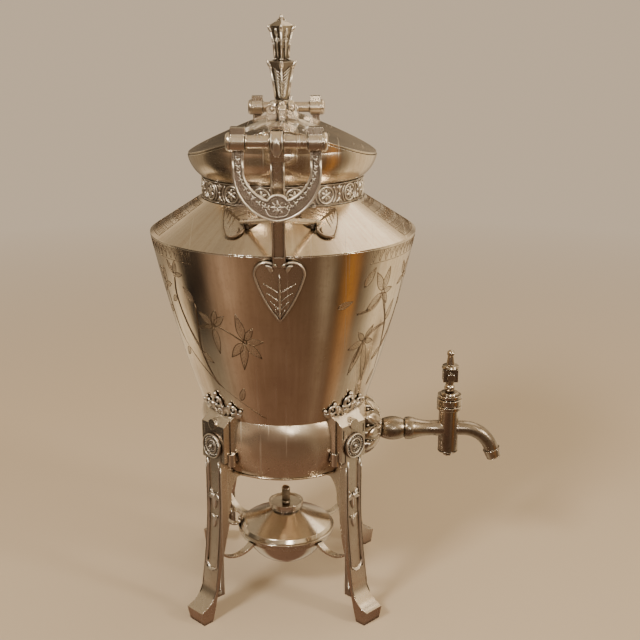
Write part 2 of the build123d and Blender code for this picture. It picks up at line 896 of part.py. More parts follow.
def make_leg(azimuth):
    """Leg: a broad plate in front, a narrow web behind that runs in under the bowl, and a foot."""
    back = leg_face - leg_depth
    straight_z = bowl_z - leg_straight_drop
    panel_face = leg_face - panel_depth
    with BuildPart() as leg:
        with BuildSketch(radial_plane(azimuth)):
            with BuildLine():
                Polyline((back, leg_top_z), (leg_face, leg_top_z), (leg_face, straight_z))
                ThreePointArc((leg_face, straight_z), from_leg(calf), from_leg(ankle))
                ThreePointArc(from_leg(ankle), from_leg(instep), from_leg(toe))
                Polyline(from_leg(toe), (leg_face + sole_out, 0), (leg_face + instep[0], 0))
                ThreePointArc((leg_face + instep[0], 0), from_leg(heel), from_leg(shin_back))
                ThreePointArc(from_leg(shin_back), from_leg(calf_back), (back, bowl_z - plate_back_drop))
                Line((back, bowl_z - plate_back_drop), (back, leg_top_z))
            make_face()
        extrude(amount=leg_half_width, both=True)
        with BuildSketch(facing_plane(azimuth, back, leg_top_z)):
            Circle(leg_half_width)
        extrude(amount=leg_depth)
        with BuildSketch(radial_plane(azimuth)):
            with BuildLine():
                arch_start = (leg_face - web_arch_inset, bowl_z - web_rise)
                Polyline(
                    from_leg(web_foot),
                    (leg_face - knee_inset, web_foot[1]),
                    (back + web_into_plate, bowl_z - plate_back_drop),
                    (back + web_into_plate, bowl_z + web_rise),
                    (leg_face - web_inner_inset, bowl_z + web_rise),
                    (leg_face - web_inner_inset, bowl_z - web_rise),
                    arch_start,
                )
                ThreePointArc(arch_start, under_bowl(web_arch_middle), under_bowl(web_arch_end))
                ThreePointArc(under_bowl(web_arch_end), under_bowl(web_sweep_middle), from_leg(web_foot))
            make_face()
        extrude(amount=web_half_width, both=True)
        with BuildSketch(radial_plane(azimuth)):
            with BuildLine():
                panel_end = (panel_face + panel_foot[0], panel_foot[1])
                Line((panel_face, leg_top_z - panel_top_drop), (panel_face, straight_z))
                ThreePointArc((panel_face, straight_z), (panel_face + calf[0], calf[1]), panel_end)
                Polyline(
                    panel_end,
                    (panel_end[0] + leg_depth, panel_end[1]),
                    (panel_end[0] + leg_depth, leg_top_z - panel_top_drop),
                    (panel_face, leg_top_z - panel_top_drop),
                )
            make_face()
        extrude(amount=panel_half_width, both=True, mode=Mode.SUBTRACT)
        add(envelope.part, mode=Mode.SUBTRACT)
    return leg


def make_knee(azimuth):
    """Knee block: seats the leg's top against the bowl, with a sloping roof and side wings."""
    with BuildPart() as knee:
        with BuildSketch(plan_plane(azimuth, knee_foot_z)):
            with BuildLine():
                Polyline(
                    (base_radius - knee_side_depth, -knee_wing_half_width),
                    (waist_radius - knee_wing_inset, -knee_wing_half_width),
                    (knee_face - knee_side_depth, -knee_half_width - knee_step),
                    (knee_face - knee_side_depth, -knee_half_width),
                    (knee_face, -knee_half_width),
                    (knee_face, knee_half_width),
                    (knee_face - knee_side_depth, knee_half_width),
                    (knee_face - knee_side_depth, knee_half_width + knee_step),
                    (waist_radius - knee_wing_inset, knee_wing_half_width),
                    (base_radius - knee_side_depth, knee_wing_half_width),
                    close=True,
                )
            make_face()
        extrude(amount=knee_front_z + knee_roof_rise - knee_foot_z)
        with BuildSketch(radial_plane(azimuth)):
            with BuildLine():
                Polyline(
                    (knee_face, knee_front_z),
                    (waist_radius, knee_front_z + knee_roof_rise),
                    (0, knee_front_z + knee_roof_rise),
                    (0, knee_front_z + 2 * knee_roof_rise),
                    (knee_face + knee_side_depth, knee_front_z + 2 * knee_roof_rise),
                    (knee_face + knee_side_depth, knee_front_z),
                    close=True,
                )
            make_face()
        extrude(amount=2 * knee_wing_half_width, both=True, mode=Mode.SUBTRACT)
        with BuildSketch(facing_plane(azimuth, knee_face - knee_slot_depth, knee_slot_z)):
            for side in (-1, 1):
                with Locations((side * (knee_half_width - 2 * knee_slot_width), 0)):
                    Rectangle(knee_slot_width, knee_slot_length)
        extrude(amount=2 * knee_slot_depth, mode=Mode.SUBTRACT)
        with BuildSketch(facing_plane(azimuth, knee_face - knee_boss_height, knee_front_z)):
            Circle(knee_boss_radius)
        extrude(amount=knee_boss_height + knee_boss_proud)
        for side in (-1, 1):
            claw = plan_plane(azimuth, knee_foot_z - claw_height / 3)
            with BuildSketch(claw):
                with Locations((knee_face - knee_side_depth - knee_step, side * knee_half_width)):
                    Circle(claw_radius)
            extrude(amount=claw_height)
        add(envelope.part, mode=Mode.SUBTRACT)
        with BuildSketch(facing_plane(azimuth, leg_face - leg_depth, leg_top_z)):
            Circle(leg_half_width)
            with Locations((0, -leg_top_rise / 2)):
                Rectangle(2 * leg_half_width, leg_top_rise)
        extrude(amount=far, mode=Mode.SUBTRACT)
    return knee


def make_roundel(azimuth):
    """Round medal on the top of the leg: a disc with three raised rings and a centre."""
    with BuildPart() as roundel:
        with BuildSketch(facing_plane(azimuth, leg_face, leg_top_z)):
            Circle(roundel_radius)
        extrude(amount=roundel_base)
        with BuildSketch(facing_plane(azimuth, leg_face + roundel_base, leg_top_z)):
            for outer, inner in roundel_rings:
                Circle(roundel_radius * outer)
                Circle(roundel_radius * inner, mode=Mode.SUBTRACT)
            Circle(roundel_radius * roundel_centre)
        extrude(amount=roundel_relief)
    return roundel


def make_sprig(azimuth, knee):
    """Pair of curled leaves on the cone above the knee."""
    foot = knee_front_z + knee_boss_radius
    with BuildPart() as sprig:
        with BuildSketch(Plane.XZ):
            with BuildLine():
                bulged((waist_radius, waist_z), (crease_radius, crease_z), flank_bulge)
                Line((crease_radius, crease_z), (crease_radius + sprig_depth, crease_z))
                bulged(
                    (crease_radius + sprig_depth, crease_z),
                    (waist_radius + sprig_depth, waist_z),
                    -flank_bulge,
                )
                Line((waist_radius + sprig_depth, waist_z), (waist_radius, waist_z))
            make_face()
        revolve(axis=Axis.Z)
        with BuildSketch(facing_plane(azimuth, 0, foot)):
            with BuildLine():
                Polyline(
                    (-sprig_foot[0], sprig_foot[1]),
                    (-sprig_side[0], sprig_side[1]),
                    (-sprig_shoulder[0], sprig_shoulder[1]),
                    (0, sprig_dip),
                    sprig_shoulder,
                    sprig_side,
                    sprig_foot,
                    close=True,
                )
            make_face()
            for side in (-1, 1):
                with Locations((side * scroll_place[0], scroll_place[1])):
                    Circle(scroll_radius)
                with Locations((side * berry_place[0], berry_place[1])):
                    Circle(berry_radius)
                with Locations((side * stalk_place[0], stalk_place[1])):
                    Rectangle(*stalk_size)
                with Locations((side * lobe_place[0], lobe_place[1])):
                    Ellipse(*lobe_size, rotation=-side * lobe_turn)
                with Locations((side * outer_berry_place[0], outer_berry_place[1])):
                    Circle(berry_radius)
            for side in (-1, 1):
                with Locations((side * scroll_place[0], scroll_place[1])):
                    Circle(scroll_eye, mode=Mode.SUBTRACT)
        extrude(amount=far, mode=Mode.INTERSECT)
        add(knee.part, mode=Mode.SUBTRACT)
    return sprig


legs = []
for number, azimuth in enumerate(leg_azimuths, start=1):
    leg = make_leg(azimuth)
    legs.append(leg)
    knee = make_knee(azimuth)
    finish(leg, f"leg_{number}")
    finish(knee, f"knee_block_{number}")
    finish(make_roundel(azimuth), f"knee_roundel_{number}")
    finish(make_sprig(azimuth, knee), f"knee_leaves_{number}")

# Tap: leaf-edged escutcheon, domed towards the tap and cut to the bowl and the cone
with BuildPart() as tap_escutcheon:
    with BuildSketch(Plane.XZ):
        with BuildLine():
            edge_z = tap_z + escutcheon_rise + escutcheon_radius + escutcheon_lobe_radius
            hub_z = tap_z + escutcheon_rise + escutcheon_hub_radius
            axis_z = tap_z + escutcheon_rise
            edge_reach = bowl_reach - escutcheon_edge_inset
            swell = (bowl_reach + escutcheon_swell, (edge_z + hub_z) / 2 + escutcheon_swell_rise)
            Line((base_radius - escutcheon_hub_radius, axis_z), (base_radius - escutcheon_hub_radius, edge_z))
            Line((base_radius - escutcheon_hub_radius, edge_z), (edge_reach, edge_z))
            ThreePointArc((edge_reach, edge_z), swell, (escutcheon_face, hub_z))
            Polyline(
                (escutcheon_face, hub_z),
                (escutcheon_face, axis_z),
                (base_radius - escutcheon_hub_radius, axis_z),
            )
        make_face()
    revolve(axis=Axis((0, 0, tap_z + escutcheon_rise), (1, 0, 0)))
    with BuildSketch(facing_plane(0, 0, tap_z + escutcheon_rise)):
        Circle(escutcheon_radius)
        with PolarLocations(escutcheon_radius, escutcheon_lobes):
            Circle(escutcheon_lobe_radius)
    extrude(amount=far, mode=Mode.INTERSECT)
    with BuildSketch(facing_plane(0, 0, tap_z)):
        Circle(shank_radius + shank_clearance)
    extrude(amount=far, mode=Mode.SUBTRACT)
    add(envelope.part, mode=Mode.SUBTRACT)
finish(tap_escutcheon, "tap_escutcheon")

barrel_foot_z = tap_z - barrel_foot_drop
barrel_top_z = tap_z + barrel_top_rise
spout_end = (
    spout_level_reach + spout_bend * sin(radians(spout_turn)) + spout_drop_length * cos(radians(spout_turn)),
    tap_z - spout_bend * (1 - cos(radians(spout_turn))) - spout_drop_length * sin(radians(spout_turn)),
)
bend_end = (
    spout_level_reach + spout_bend * sin(radians(spout_turn)),
    tap_z - spout_bend * (1 - cos(radians(spout_turn))),
)
bend_middle = (
    spout_level_reach + spout_bend * sin(radians(spout_turn / 2)),
    tap_z - spout_bend * (1 - cos(radians(spout_turn / 2))),
)
mouth_plane = Plane(
    origin=(spout_end[0], 0, spout_end[1]),
    x_dir=(0, 1, 0),
    z_dir=(cos(radians(spout_turn)), 0, -sin(radians(spout_turn))),
)


def spout_path():
    """Way of the spout from the barrel's axis: level, round the bend and down to the mouth."""
    Line((tap_reach, 0, tap_z), (spout_level_reach, 0, tap_z))
    ThreePointArc(
        (spout_level_reach, 0, tap_z), (bend_middle[0], 0, bend_middle[1]), (bend_end[0], 0, bend_end[1])
    )
    Line((bend_end[0], 0, bend_end[1]), (spout_end[0], 0, spout_end[1]))


def from_hub(point):
    """A point of the pipe's outline, from its distance off the escutcheon and its radius."""
    return (escutcheon_face + point[0], tap_z + point[1])


with BuildPart() as tap_body:
    with BuildSketch(Plane.XZ):
        with BuildLine():
            neck_end = tap_reach - barrel_radius / 2
            bead_end = from_hub(pipe_bead[-1])
            neck_middle = (bead_end[0] + pipe_neck[0] * (neck_end - bead_end[0]), tap_z + pipe_neck[1])
            Polyline(
                (neck_end, tap_z),
                (shank_inner_reach, tap_z),
                (shank_inner_reach, tap_z + shank_radius),
                (escutcheon_face, tap_z + shank_radius),
                from_hub(pipe_pear[0]),
            )
            ThreePointArc(*[from_hub(point) for point in pipe_pear])
            Polyline(*[from_hub(point) for point in pipe_groove])
            ThreePointArc(*[from_hub(point) for point in pipe_bead])
            ThreePointArc(bead_end, neck_middle, (neck_end, tap_z + pipe_end_radius))
            Line((neck_end, tap_z + pipe_end_radius), (neck_end, tap_z))
        make_face()
    revolve(axis=Axis((0, 0, tap_z), (1, 0, 0)))
    with BuildSketch(Plane.XZ):
        with BuildLine():
            Polyline(
                (tap_reach, barrel_foot_z),
                (tap_reach + barrel_foot_radius, barrel_foot_z),
                (tap_reach + barrel_radius, barrel_foot_z + barrel_foot_rise),
                *[(tap_reach + radius, tap_z + rise) for rise, radius in barrel_rings],
                (tap_reach + barrel_rings[-1][1], barrel_top_z),
                (tap_reach, barrel_top_z),
                close=True,
            )
        make_face()
    revolve(axis=Axis((tap_reach, 0, 0), (0, 0, 1)))
    with BuildLine():
        spout_path()
    with BuildSketch(facing_plane(0, tap_reach, tap_z)):
        Circle(spout_radius)
    sweep()
    for rise, radius in ((-spout_lip_depth, spout_lip_radius), (0, spout_mouth_radius)):
        with BuildSketch(mouth_plane.offset(rise)):
            Circle(radius)
    loft()
    with BuildSketch(facing_plane(0, 0, tap_z)):
        Circle(tap_bore)
    extrude(amount=tap_reach, mode=Mode.SUBTRACT)
    with BuildLine():
        spout_path()
    with BuildSketch(facing_plane(0, tap_reach, tap_z)):
        Circle(tap_bore)
    sweep(mode=Mode.SUBTRACT)
    for rise, radius in ((-spout_mouth_ease, tap_bore), (0, tap_bore + spout_mouth_ease)):
        with BuildSketch(mouth_plane.offset(rise)):
            Circle(radius)
    loft(mode=Mode.SUBTRACT)
    with BuildSketch(Plane.XZ):
        with BuildLine():
            Polyline(
                (tap_reach, barrel_foot_z),
                (tap_reach + plug_foot_radius + plug_clearance, barrel_foot_z),
                (tap_reach + plug_head_radius + plug_clearance, barrel_top_z),
                (tap_reach, barrel_top_z),
                close=True,
            )
        make_face()
    revolve(axis=Axis((tap_reach, 0, 0), (0, 0, 1)), mode=Mode.SUBTRACT)
finish(tap_body, "tap_body")

# Plug: a tapered key with a cross port, shut at rest, and a threaded end below the barrel
plug_end_z = barrel_foot_z - plug_end_length
with BuildPart() as tap_plug:
    with BuildSketch(Plane.XZ):
        with BuildLine():
            Polyline(
                (tap_reach, plug_end_z),
                (tap_reach + plug_end_radius, plug_end_z),
                (tap_reach + plug_end_radius, barrel_foot_z),
                (tap_reach + plug_foot_radius, barrel_foot_z),
                (tap_reach + plug_head_radius, barrel_top_z),
                (tap_reach + plug_head_radius, barrel_top_z + handle_gap),
                (tap_reach, barrel_top_z + handle_gap),
                close=True,
            )
        make_face()
    revolve(axis=Axis((tap_reach, 0, 0), (0, 0, 1)))
    with BuildSketch(across_plane(tap_reach, tap_z)):
        Circle(plug_port)
    extrude(amount=2 * plug_head_radius, both=True, mode=Mode.SUBTRACT)
finish(tap_plug, "tap_plug")

with BuildPart() as plug_washer:
    with BuildSketch(Plane.XY.offset(barrel_foot_z - handle_gap - washer_height)):
        with Locations((tap_reach, 0)):
            Circle(plug_washer_radius)
            Circle(plug_end_radius + plug_clearance, mode=Mode.SUBTRACT)
    extrude(amount=washer_height)
finish(plug_washer, "plug_washer")

with BuildPart() as plug_nut:
    with BuildSketch(Plane.XY.offset(plug_end_z)):
        with Locations((tap_reach, 0)):
            RegularPolygon(radius=plug_nut_radius, side_count=6)
            Circle(plug_end_radius + plug_clearance, mode=Mode.SUBTRACT)
    extrude(amount=plug_end_length - handle_gap - washer_height)
finish(plug_nut, "plug_nut")

# Turning handle: a bulb, a square block with a knob on each side, a flange and a ball on top
handle_z = barrel_top_z + handle_gap
ball_z = handle_z + handle_ball_rise
ball_foot_z = ball_z - sqrt(handle_ball_radius ** 2 - handle_ball_neck ** 2)


def from_plug(point):
    """A point of the handle's outline, from its height above the foot and its radius."""
    return (tap_reach + point[1], handle_z + point[0])


with BuildPart() as tap_handle:
    with BuildSketch(Plane.XZ):
        with BuildLine():
            Polyline((tap_reach, handle_z), *[from_plug(point) for point in handle_foot])
            ThreePointArc(*[from_plug(point) for point in handle_bulb])
            Polyline(
                *[from_plug(point) for point in handle_spindle],
                (tap_reach + handle_ball_neck, ball_foot_z),
            )
            ThreePointArc(
                (tap_reach + handle_ball_neck, ball_foot_z),
                (tap_reach + handle_ball_radius, ball_z),
                (tap_reach, ball_z + handle_ball_radius),
            )
            Line((tap_reach, ball_z + handle_ball_radius), (tap_reach, handle_z))
        make_face()
    revolve(axis=Axis((tap_reach, 0, 0), (0, 0, 1)))
    with BuildSketch(Plane.XY.offset(handle_z + handle_block_rise)):
        with Locations((tap_reach, 0)):
            Rectangle(handle_block[0], handle_block[1])
    extrude(amount=handle_block[2])
    with BuildSketch(across_plane(tap_reach, handle_z + handle_knob_rise)):
        Circle(handle_knob_radius)
    extrude(amount=handle_knob_reach, both=True)
finish(tap_handle, "tap_handle")

# Washer and nut on the shank, inside the bowl
shank_nut_reach = shank_inner_reach + shank_nut_inset
with BuildPart() as shank_nut:
    with BuildSketch(facing_plane(0, shank_nut_reach, tap_z)):
        RegularPolygon(radius=shank_nut_radius, side_count=6)
        Circle(shank_radius + shank_clearance, mode=Mode.SUBTRACT)
    extrude(amount=shank_nut_depth)
finish(shank_nut, "shank_nut")

with BuildPart() as shank_washer:
    with BuildSketch(facing_plane(0, shank_nut_reach + shank_nut_depth, tap_z)):
        Circle(shank_washer_radius)
        Circle(shank_radius + shank_clearance, mode=Mode.SUBTRACT)
    extrude(amount=far)
    add(bowl_inside.part, mode=Mode.INTERSECT)
finish(shank_washer, "shank_washer")

# Lamp carrier: a ring, and four strips that dip and rise to the legs
with BuildPart() as carrier_ring:
    with BuildSketch(Plane.XY.offset(carrier_z - carrier_depth)):
        Circle(carrier_outer)
        Circle(carrier_inner, mode=Mode.SUBTRACT)
    extrude(amount=carrier_depth)
finish(carrier_ring, "carrier_ring")

ring_foot_z = carrier_z - carrier_depth
arm_middle = carrier_outer + arm_middle_out
arm_knee = (leg_face - arm_knee_inset, ring_foot_z + arm_knee_rise)
arm_end = (leg_face + leg_depth, ring_foot_z + arm_end_rise)
with BuildPart() as carrier_arms:
    for azimuth in leg_azimuths:
        with BuildSketch(radial_plane(azimuth)):
            with BuildLine():
                Line((carrier_outer, carrier_z), (carrier_outer, ring_foot_z))
                ThreePointArc((carrier_outer, ring_foot_z), (arm_middle, ring_foot_z - arm_dip), arm_knee)
                Polyline(
                    arm_knee,
                    arm_end,
                    (arm_end[0], arm_end[1] + 2 * arm_depth),
                    (arm_knee[0] - arm_knee_lean, arm_knee[1] + arm_depth),
                )
                ThreePointArc(
                    (arm_knee[0] - arm_knee_lean, arm_knee[1] + arm_depth),
                    (arm_middle, ring_foot_z - arm_dip + arm_depth),
                    (carrier_outer + arm_root, carrier_z),
                )
                Line((carrier_outer + arm_root, carrier_z), (carrier_outer, carrier_z))
            make_face()
        extrude(amount=arm_half_width, both=True)
    with BuildSketch(Plane.XY.offset(carrier_z - carrier_depth)):
        Circle(carrier_outer)
    extrude(amount=carrier_depth, mode=Mode.SUBTRACT)
    for leg in legs:
        add(leg.part, mode=Mode.SUBTRACT)
    for azimuth in leg_azimuths:
        with BuildSketch(facing_plane(azimuth, leg_face - arm_seat, 0)):
            Rectangle(4 * arm_half_width, 2 * bowl_z)
        extrude(amount=far, mode=Mode.SUBTRACT)
finish(carrier_arms, "carrier_arms")

# Spirit lamp: a hollow reservoir that rests with its rim on the carrier ring
rim_foot_z = carrier_z + lamp_gap
rim_top_z = rim_foot_z + lamp_rim_depth
with BuildPart() as lamp_reservoir:
    with BuildSketch(Plane.XZ):
        with BuildLine():
            Polyline((0, lamp_foot_z), (lamp_foot_radius, lamp_foot_z))
            ThreePointArc(
                (lamp_foot_radius, lamp_foot_z),
                (lamp_body_radius - lamp_swell_inset, lamp_foot_z + lamp_swell_rise),
                (lamp_body_radius, rim_foot_z),
            )
            Line((lamp_body_radius, rim_foot_z), (lamp_rim_radius - lamp_rim_depth / 2, rim_foot_z))
            ThreePointArc(
                (lamp_rim_radius - lamp_rim_depth / 2, rim_foot_z),
                (lamp_rim_radius, (rim_foot_z + rim_top_z) / 2),
                (lamp_rim_radius - lamp_rim_depth / 2, rim_top_z),
            )
            Polyline(
                (lamp_rim_radius - lamp_rim_depth / 2, rim_top_z),
                (lamp_body_radius - lamp_sheet, rim_top_z),
                (lamp_body_radius - lamp_sheet, rim_foot_z),
            )
            ThreePointArc(
                (lamp_body_radius - lamp_sheet, rim_foot_z),
                (
                    lamp_body_radius - lamp_swell_inset - lamp_sheet,
                    lamp_foot_z + lamp_swell_rise + lamp_sheet / 2,
                ),
                (lamp_foot_radius, lamp_foot_z + lamp_sheet),
            )
            Polyline(
                (lamp_foot_radius, lamp_foot_z + lamp_sheet), (0, lamp_foot_z + lamp_sheet), (0, lamp_foot_z)
            )
        make_face()
    revolve(axis=Axis.Z)
finish(lamp_reservoir, "lamp_reservoir")

with BuildPart() as lamp_cover:
    with BuildSketch(Plane.XZ):
        with BuildLine():
            band_top = rim_top_z + cover_band_height
            cone_rise = (cover_neck_z - band_top) / (cover_band_radius - cover_neck_radius)
            wall = lamp_sheet * sqrt(1 + cone_rise ** 2)
            Polyline(
                (cover_step_radius, rim_top_z),
                (cover_band_radius, band_top),
                (cover_neck_radius, cover_neck_z),
                (cover_neck_radius, cover_neck_z + burner_gap_rise),
                (cover_neck_radius - lamp_sheet, cover_neck_z + burner_gap_rise),
                (cover_neck_radius - lamp_sheet, cover_neck_z - wall / 2),
                (cover_band_radius - lamp_sheet, band_top - wall),
                (cover_step_radius - 3 * lamp_sheet, rim_top_z),
                close=True,
            )
        make_face()
    revolve(axis=Axis.Z)
finish(lamp_cover, "lamp_cover")

# Burner: a disc on the neck of the lamp, with a plug into the neck and the tube for the wick
burner_z = cover_neck_z + burner_gap_rise
burner_top_z = burner_z + burner_height
with BuildPart() as burner:
    with BuildSketch(Plane.XZ):
        with BuildLine():
            neck_bore = cover_neck_radius - lamp_sheet - burner_clearance
            Polyline(
                (wick_radius + burner_clearance, burner_z - burner_plug_depth),
                (neck_bore, burner_z - burner_plug_depth),
                (neck_bore, burner_z),
                (burner_radius - burner_edge, burner_z),
                (burner_radius, burner_z + burner_edge),
                (burner_radius, burner_top_z),
                (burner_radius - burner_rim, burner_top_z),
                (burner_radius - burner_rim - burner_dish_slope, burner_top_z - burner_edge),
                (wick_tube_radius, burner_top_z - burner_edge),
                (wick_tube_radius, wick_tube_top_z),
                (wick_radius + burner_clearance, wick_tube_top_z),
                close=True,
            )
        make_face()
    revolve(axis=Axis.Z)
finish(burner, "burner")

with BuildPart() as wick:
    with BuildSketch(Plane.XY.offset(lamp_foot_z + lamp_sheet)):
        Circle(wick_radius)
    extrude(amount=wick_tube_top_z + wick_rise - lamp_foot_z - lamp_sheet)
    with BuildSketch(Plane.XZ):
        with BuildLine():
            Polyline(
                (-2 * wick_radius, wick_tube_top_z + wick_rise),
                (2 * wick_radius, wick_tube_top_z),
                (2 * wick_radius, wick_tube_top_z + 2 * wick_rise),
                (-2 * wick_radius, wick_tube_top_z + 2 * wick_rise),
                close=True,
            )
        make_face()
    extrude(amount=2 * wick_radius, both=True, mode=Mode.SUBTRACT)
finish(wick, "wick")

# Ring handle on the lamp's left side
with BuildPart() as lamp_handle:
    ring_reach = lamp_rim_radius + ring_handle_radius - ring_handle_sink
    with BuildSketch(radial_plane(180.0)):
        with Locations((ring_reach, ring_handle_z)):
            Circle(ring_handle_radius)
            Circle(ring_handle_radius - ring_handle_strap, mode=Mode.SUBTRACT)
    extrude(amount=ring_handle_half_width, both=True)
    with BuildPart(mode=Mode.SUBTRACT):
        with BuildSketch(Plane.XZ):
            with BuildLine():
                Polyline(
                    (0, lamp_foot_z),
                    (lamp_rim_radius, lamp_foot_z),
                    (lamp_rim_radius, rim_top_z),
                    (cover_step_radius, rim_top_z),
                    (cover_band_radius, band_top),
                    (cover_neck_radius, cover_neck_z),
                    (0, cover_neck_z),
                    close=True,
                )
            make_face()
        revolve(axis=Axis.Z)
finish(lamp_handle, "lamp_handle")
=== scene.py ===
"""Looks of a silver-plated hot-water urn with a tap, drop handles and a spirit lamp.

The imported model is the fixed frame. Ornament is worked flat, in millimetres, and then seated on
the skin of the urn that carries it. Every object sits at the origin, unturned and unscaled.
"""

import logging
import random
from collections.abc import Iterable, Sequence
from dataclasses import dataclass
from enum import Enum
from math import atan2, cos, hypot, pi, radians, sin

import bmesh
import bpy
from mathutils import Matrix, Vector
from mathutils.bvhtree import BVHTree


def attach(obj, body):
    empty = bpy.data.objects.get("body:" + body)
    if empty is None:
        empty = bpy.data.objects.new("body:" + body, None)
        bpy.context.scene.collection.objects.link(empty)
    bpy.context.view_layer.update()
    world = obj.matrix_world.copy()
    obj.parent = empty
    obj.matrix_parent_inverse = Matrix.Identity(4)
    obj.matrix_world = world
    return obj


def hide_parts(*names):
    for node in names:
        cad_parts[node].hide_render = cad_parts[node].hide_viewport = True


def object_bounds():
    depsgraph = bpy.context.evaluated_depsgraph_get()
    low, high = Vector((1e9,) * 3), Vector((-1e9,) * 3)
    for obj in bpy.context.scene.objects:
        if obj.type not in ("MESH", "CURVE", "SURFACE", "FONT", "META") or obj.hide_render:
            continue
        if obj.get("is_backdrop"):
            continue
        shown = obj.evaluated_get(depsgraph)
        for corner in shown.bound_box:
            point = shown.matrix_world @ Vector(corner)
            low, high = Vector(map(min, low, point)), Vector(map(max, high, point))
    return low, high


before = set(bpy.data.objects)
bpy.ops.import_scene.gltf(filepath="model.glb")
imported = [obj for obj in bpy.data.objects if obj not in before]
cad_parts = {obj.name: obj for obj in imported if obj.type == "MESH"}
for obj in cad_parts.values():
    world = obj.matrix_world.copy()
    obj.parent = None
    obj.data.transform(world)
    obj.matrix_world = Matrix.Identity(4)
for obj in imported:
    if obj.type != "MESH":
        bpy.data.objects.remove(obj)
LOG = logging.getLogger("urn")

# A millimetre in metres
MM = 0.001
# Distance in millimetres from which a skin is searched
FAR = 400.0
# Azimuths of the drop handles and of the legs, in degrees
FRONT, BACK = 270.0, 90.0
LEGS = (45.0, 135.0, 225.0, 315.0)
ORIGIN = Vector((0, 0, 0))
UP = Vector((0, 0, 1))

Flat = tuple[float, float]
Spot = tuple[float, float, float]
Colour = tuple[float, float, float]


class Body(Enum):
    """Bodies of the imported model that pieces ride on."""

    URN = "urn"
    LID = "lid"
    FRONT_BAIL = "front_drop_handle"
    BACK_BAIL = "back_drop_handle"
    TAP_KEY = "tap_key"
    LAMP = "lamp"


class Slot(Enum):
    """Material slots."""

    SHELL = "plate_shell"
    RELIEF = "plate_relief"
    CAST = "plate_cast"
    TAP = "tap_metal"
    LAMP = "lamp_metal"
    BRASS = "bare_brass"
    SEAL = "seal"
    WICK = "wick_cotton"


# Seats that flat work is put on


def outwards(azimuth: float) -> Vector:
    """Return the level direction away from the urn's axis at an azimuth in degrees."""
    return Vector((cos(radians(azimuth)), sin(radians(azimuth)), 0))


def beside(out: Vector) -> Vector:
    """Return the level direction a quarter turn on from an outward one."""
    return Vector((-out.y, out.x, 0))


def skin_of(nodes: Iterable[str]) -> BVHTree:
    """Search tree over the outer faces of some nodes of the frame.

    Args:
        nodes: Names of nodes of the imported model.

    Returns:
        A tree in millimetres, in the frame's axes.
    """
    points: list[Vector] = []
    faces: list[list[int]] = []
    for name in nodes:
        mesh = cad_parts[name].data
        start = len(points)
        points.extend(vertex.co / MM for vertex in mesh.vertices)
        faces.extend([start + index for index in face.vertices] for face in mesh.polygons)
    return BVHTree.FromPolygons(points, faces)


class Seat:
    """Place where flat work goes. A point of the work is (sideways, upwards, off the skin)."""

    def place(self, point: Vector) -> Vector:
        """Return where a point of the flat work lies, in millimetres."""
        raise NotImplementedError


@dataclass
class PlaneSeat(Seat):
    """Free plane: the work keeps its shape.

    Attributes:
        origin: Centre of the work.
        right: Direction of the work's sideways axis.
        up: Direction of the work's upward axis.
    """

    origin: Vector
    right: Vector
    up: Vector

    def place(self, point: Vector) -> Vector:
        """Return where a point of the flat work lies.

        Args:
            point: Point of the work.

        Returns:
            Its place in millimetres.
        """
        off = self.right.cross(self.up)
        return self.origin + self.right * point.x + self.up * point.y + off * point.z


@dataclass
class FacingSeat(Seat):
    """Skin seen from outside along one azimuth: the work is pressed straight onto it.

    Attributes:
        skin: Search tree of what carries the work.
        azimuth: Direction from the axis, in degrees.
        fallback: Reach from the axis where the skin is missed.
    """

    skin: BVHTree
    azimuth: float
    fallback: float = 100.0

    def place(self, point: Vector) -> Vector:
        """Return where a point of the flat work lies.

        Args:
            point: Point of the work.

        Returns:
            Its place in millimetres.
        """
        out = outwards(self.azimuth)
        spot = beside(out) * point.x + UP * point.y
        hit = self.skin.ray_cast(out * FAR + spot, -out)[0]
        if hit is None:
            hit = out * self.fallback + spot
        return hit + out * point.z


@dataclass
class RoundSeat(Seat):
    """Upright skin round the urn's axis: the work is bent round it.

    Attributes:
        skin: Search tree of what carries the work.
        azimuth: Direction of the work's middle, in degrees.
        radius: Radius at which sideways lengths are true.
    """

    skin: BVHTree
    azimuth: float
    radius: float

    def place(self, point: Vector) -> Vector:
        """Return where a point of the flat work lies.

        Args:
            point: Point of the work.

        Returns:
            Its place in millimetres.
        """
        angle = radians(self.azimuth) + point.x / self.radius
        out = Vector((cos(angle), sin(angle), 0))
        height = UP * point.y
        hit, normal = self.skin.ray_cast(out * FAR + height, -out)[:2]
        if hit is None:
            return out * (self.radius + point.z) + height
        return hit + normal * point.z


@dataclass
class TopSeat(Seat):
    """Skin seen from above: the work's upward axis runs outwards from the urn's axis.

    Attributes:
        skin: Search tree of what carries the work.
        azimuth: Direction of the work's middle, in degrees.
        radius: Radius at which sideways lengths are true, or 0 for a straight press.
        fallback: Height where the skin is missed.
    """

    skin: BVHTree
    azimuth: float
    radius: float = 0.0
    fallback: float = 300.0

    def place(self, point: Vector) -> Vector:
        """Return where a point of the flat work lies.

        Args:
            point: Point of the work.

        Returns:
            Its place in millimetres.
        """
        angle = radians(self.azimuth)
        if self.radius:
            angle += point.x / self.radius
        spot = Vector((cos(angle), sin(angle), 0)) * point.y
        if not self.radius:
            spot += Vector((-sin(angle), cos(angle), 0)) * point.x
        hit, normal = self.skin.ray_cast(spot + UP * 2 * FAR, -UP)[:2]
        if hit is None:
            return Vector((spot.x, spot.y, self.fallback + point.z))
        return hit + normal * point.z


# Flat work and its lines


def show(made: bpy.types.Object) -> None:
    """Put a new object in the scene."""
    bpy.context.scene.collection.objects.link(made)


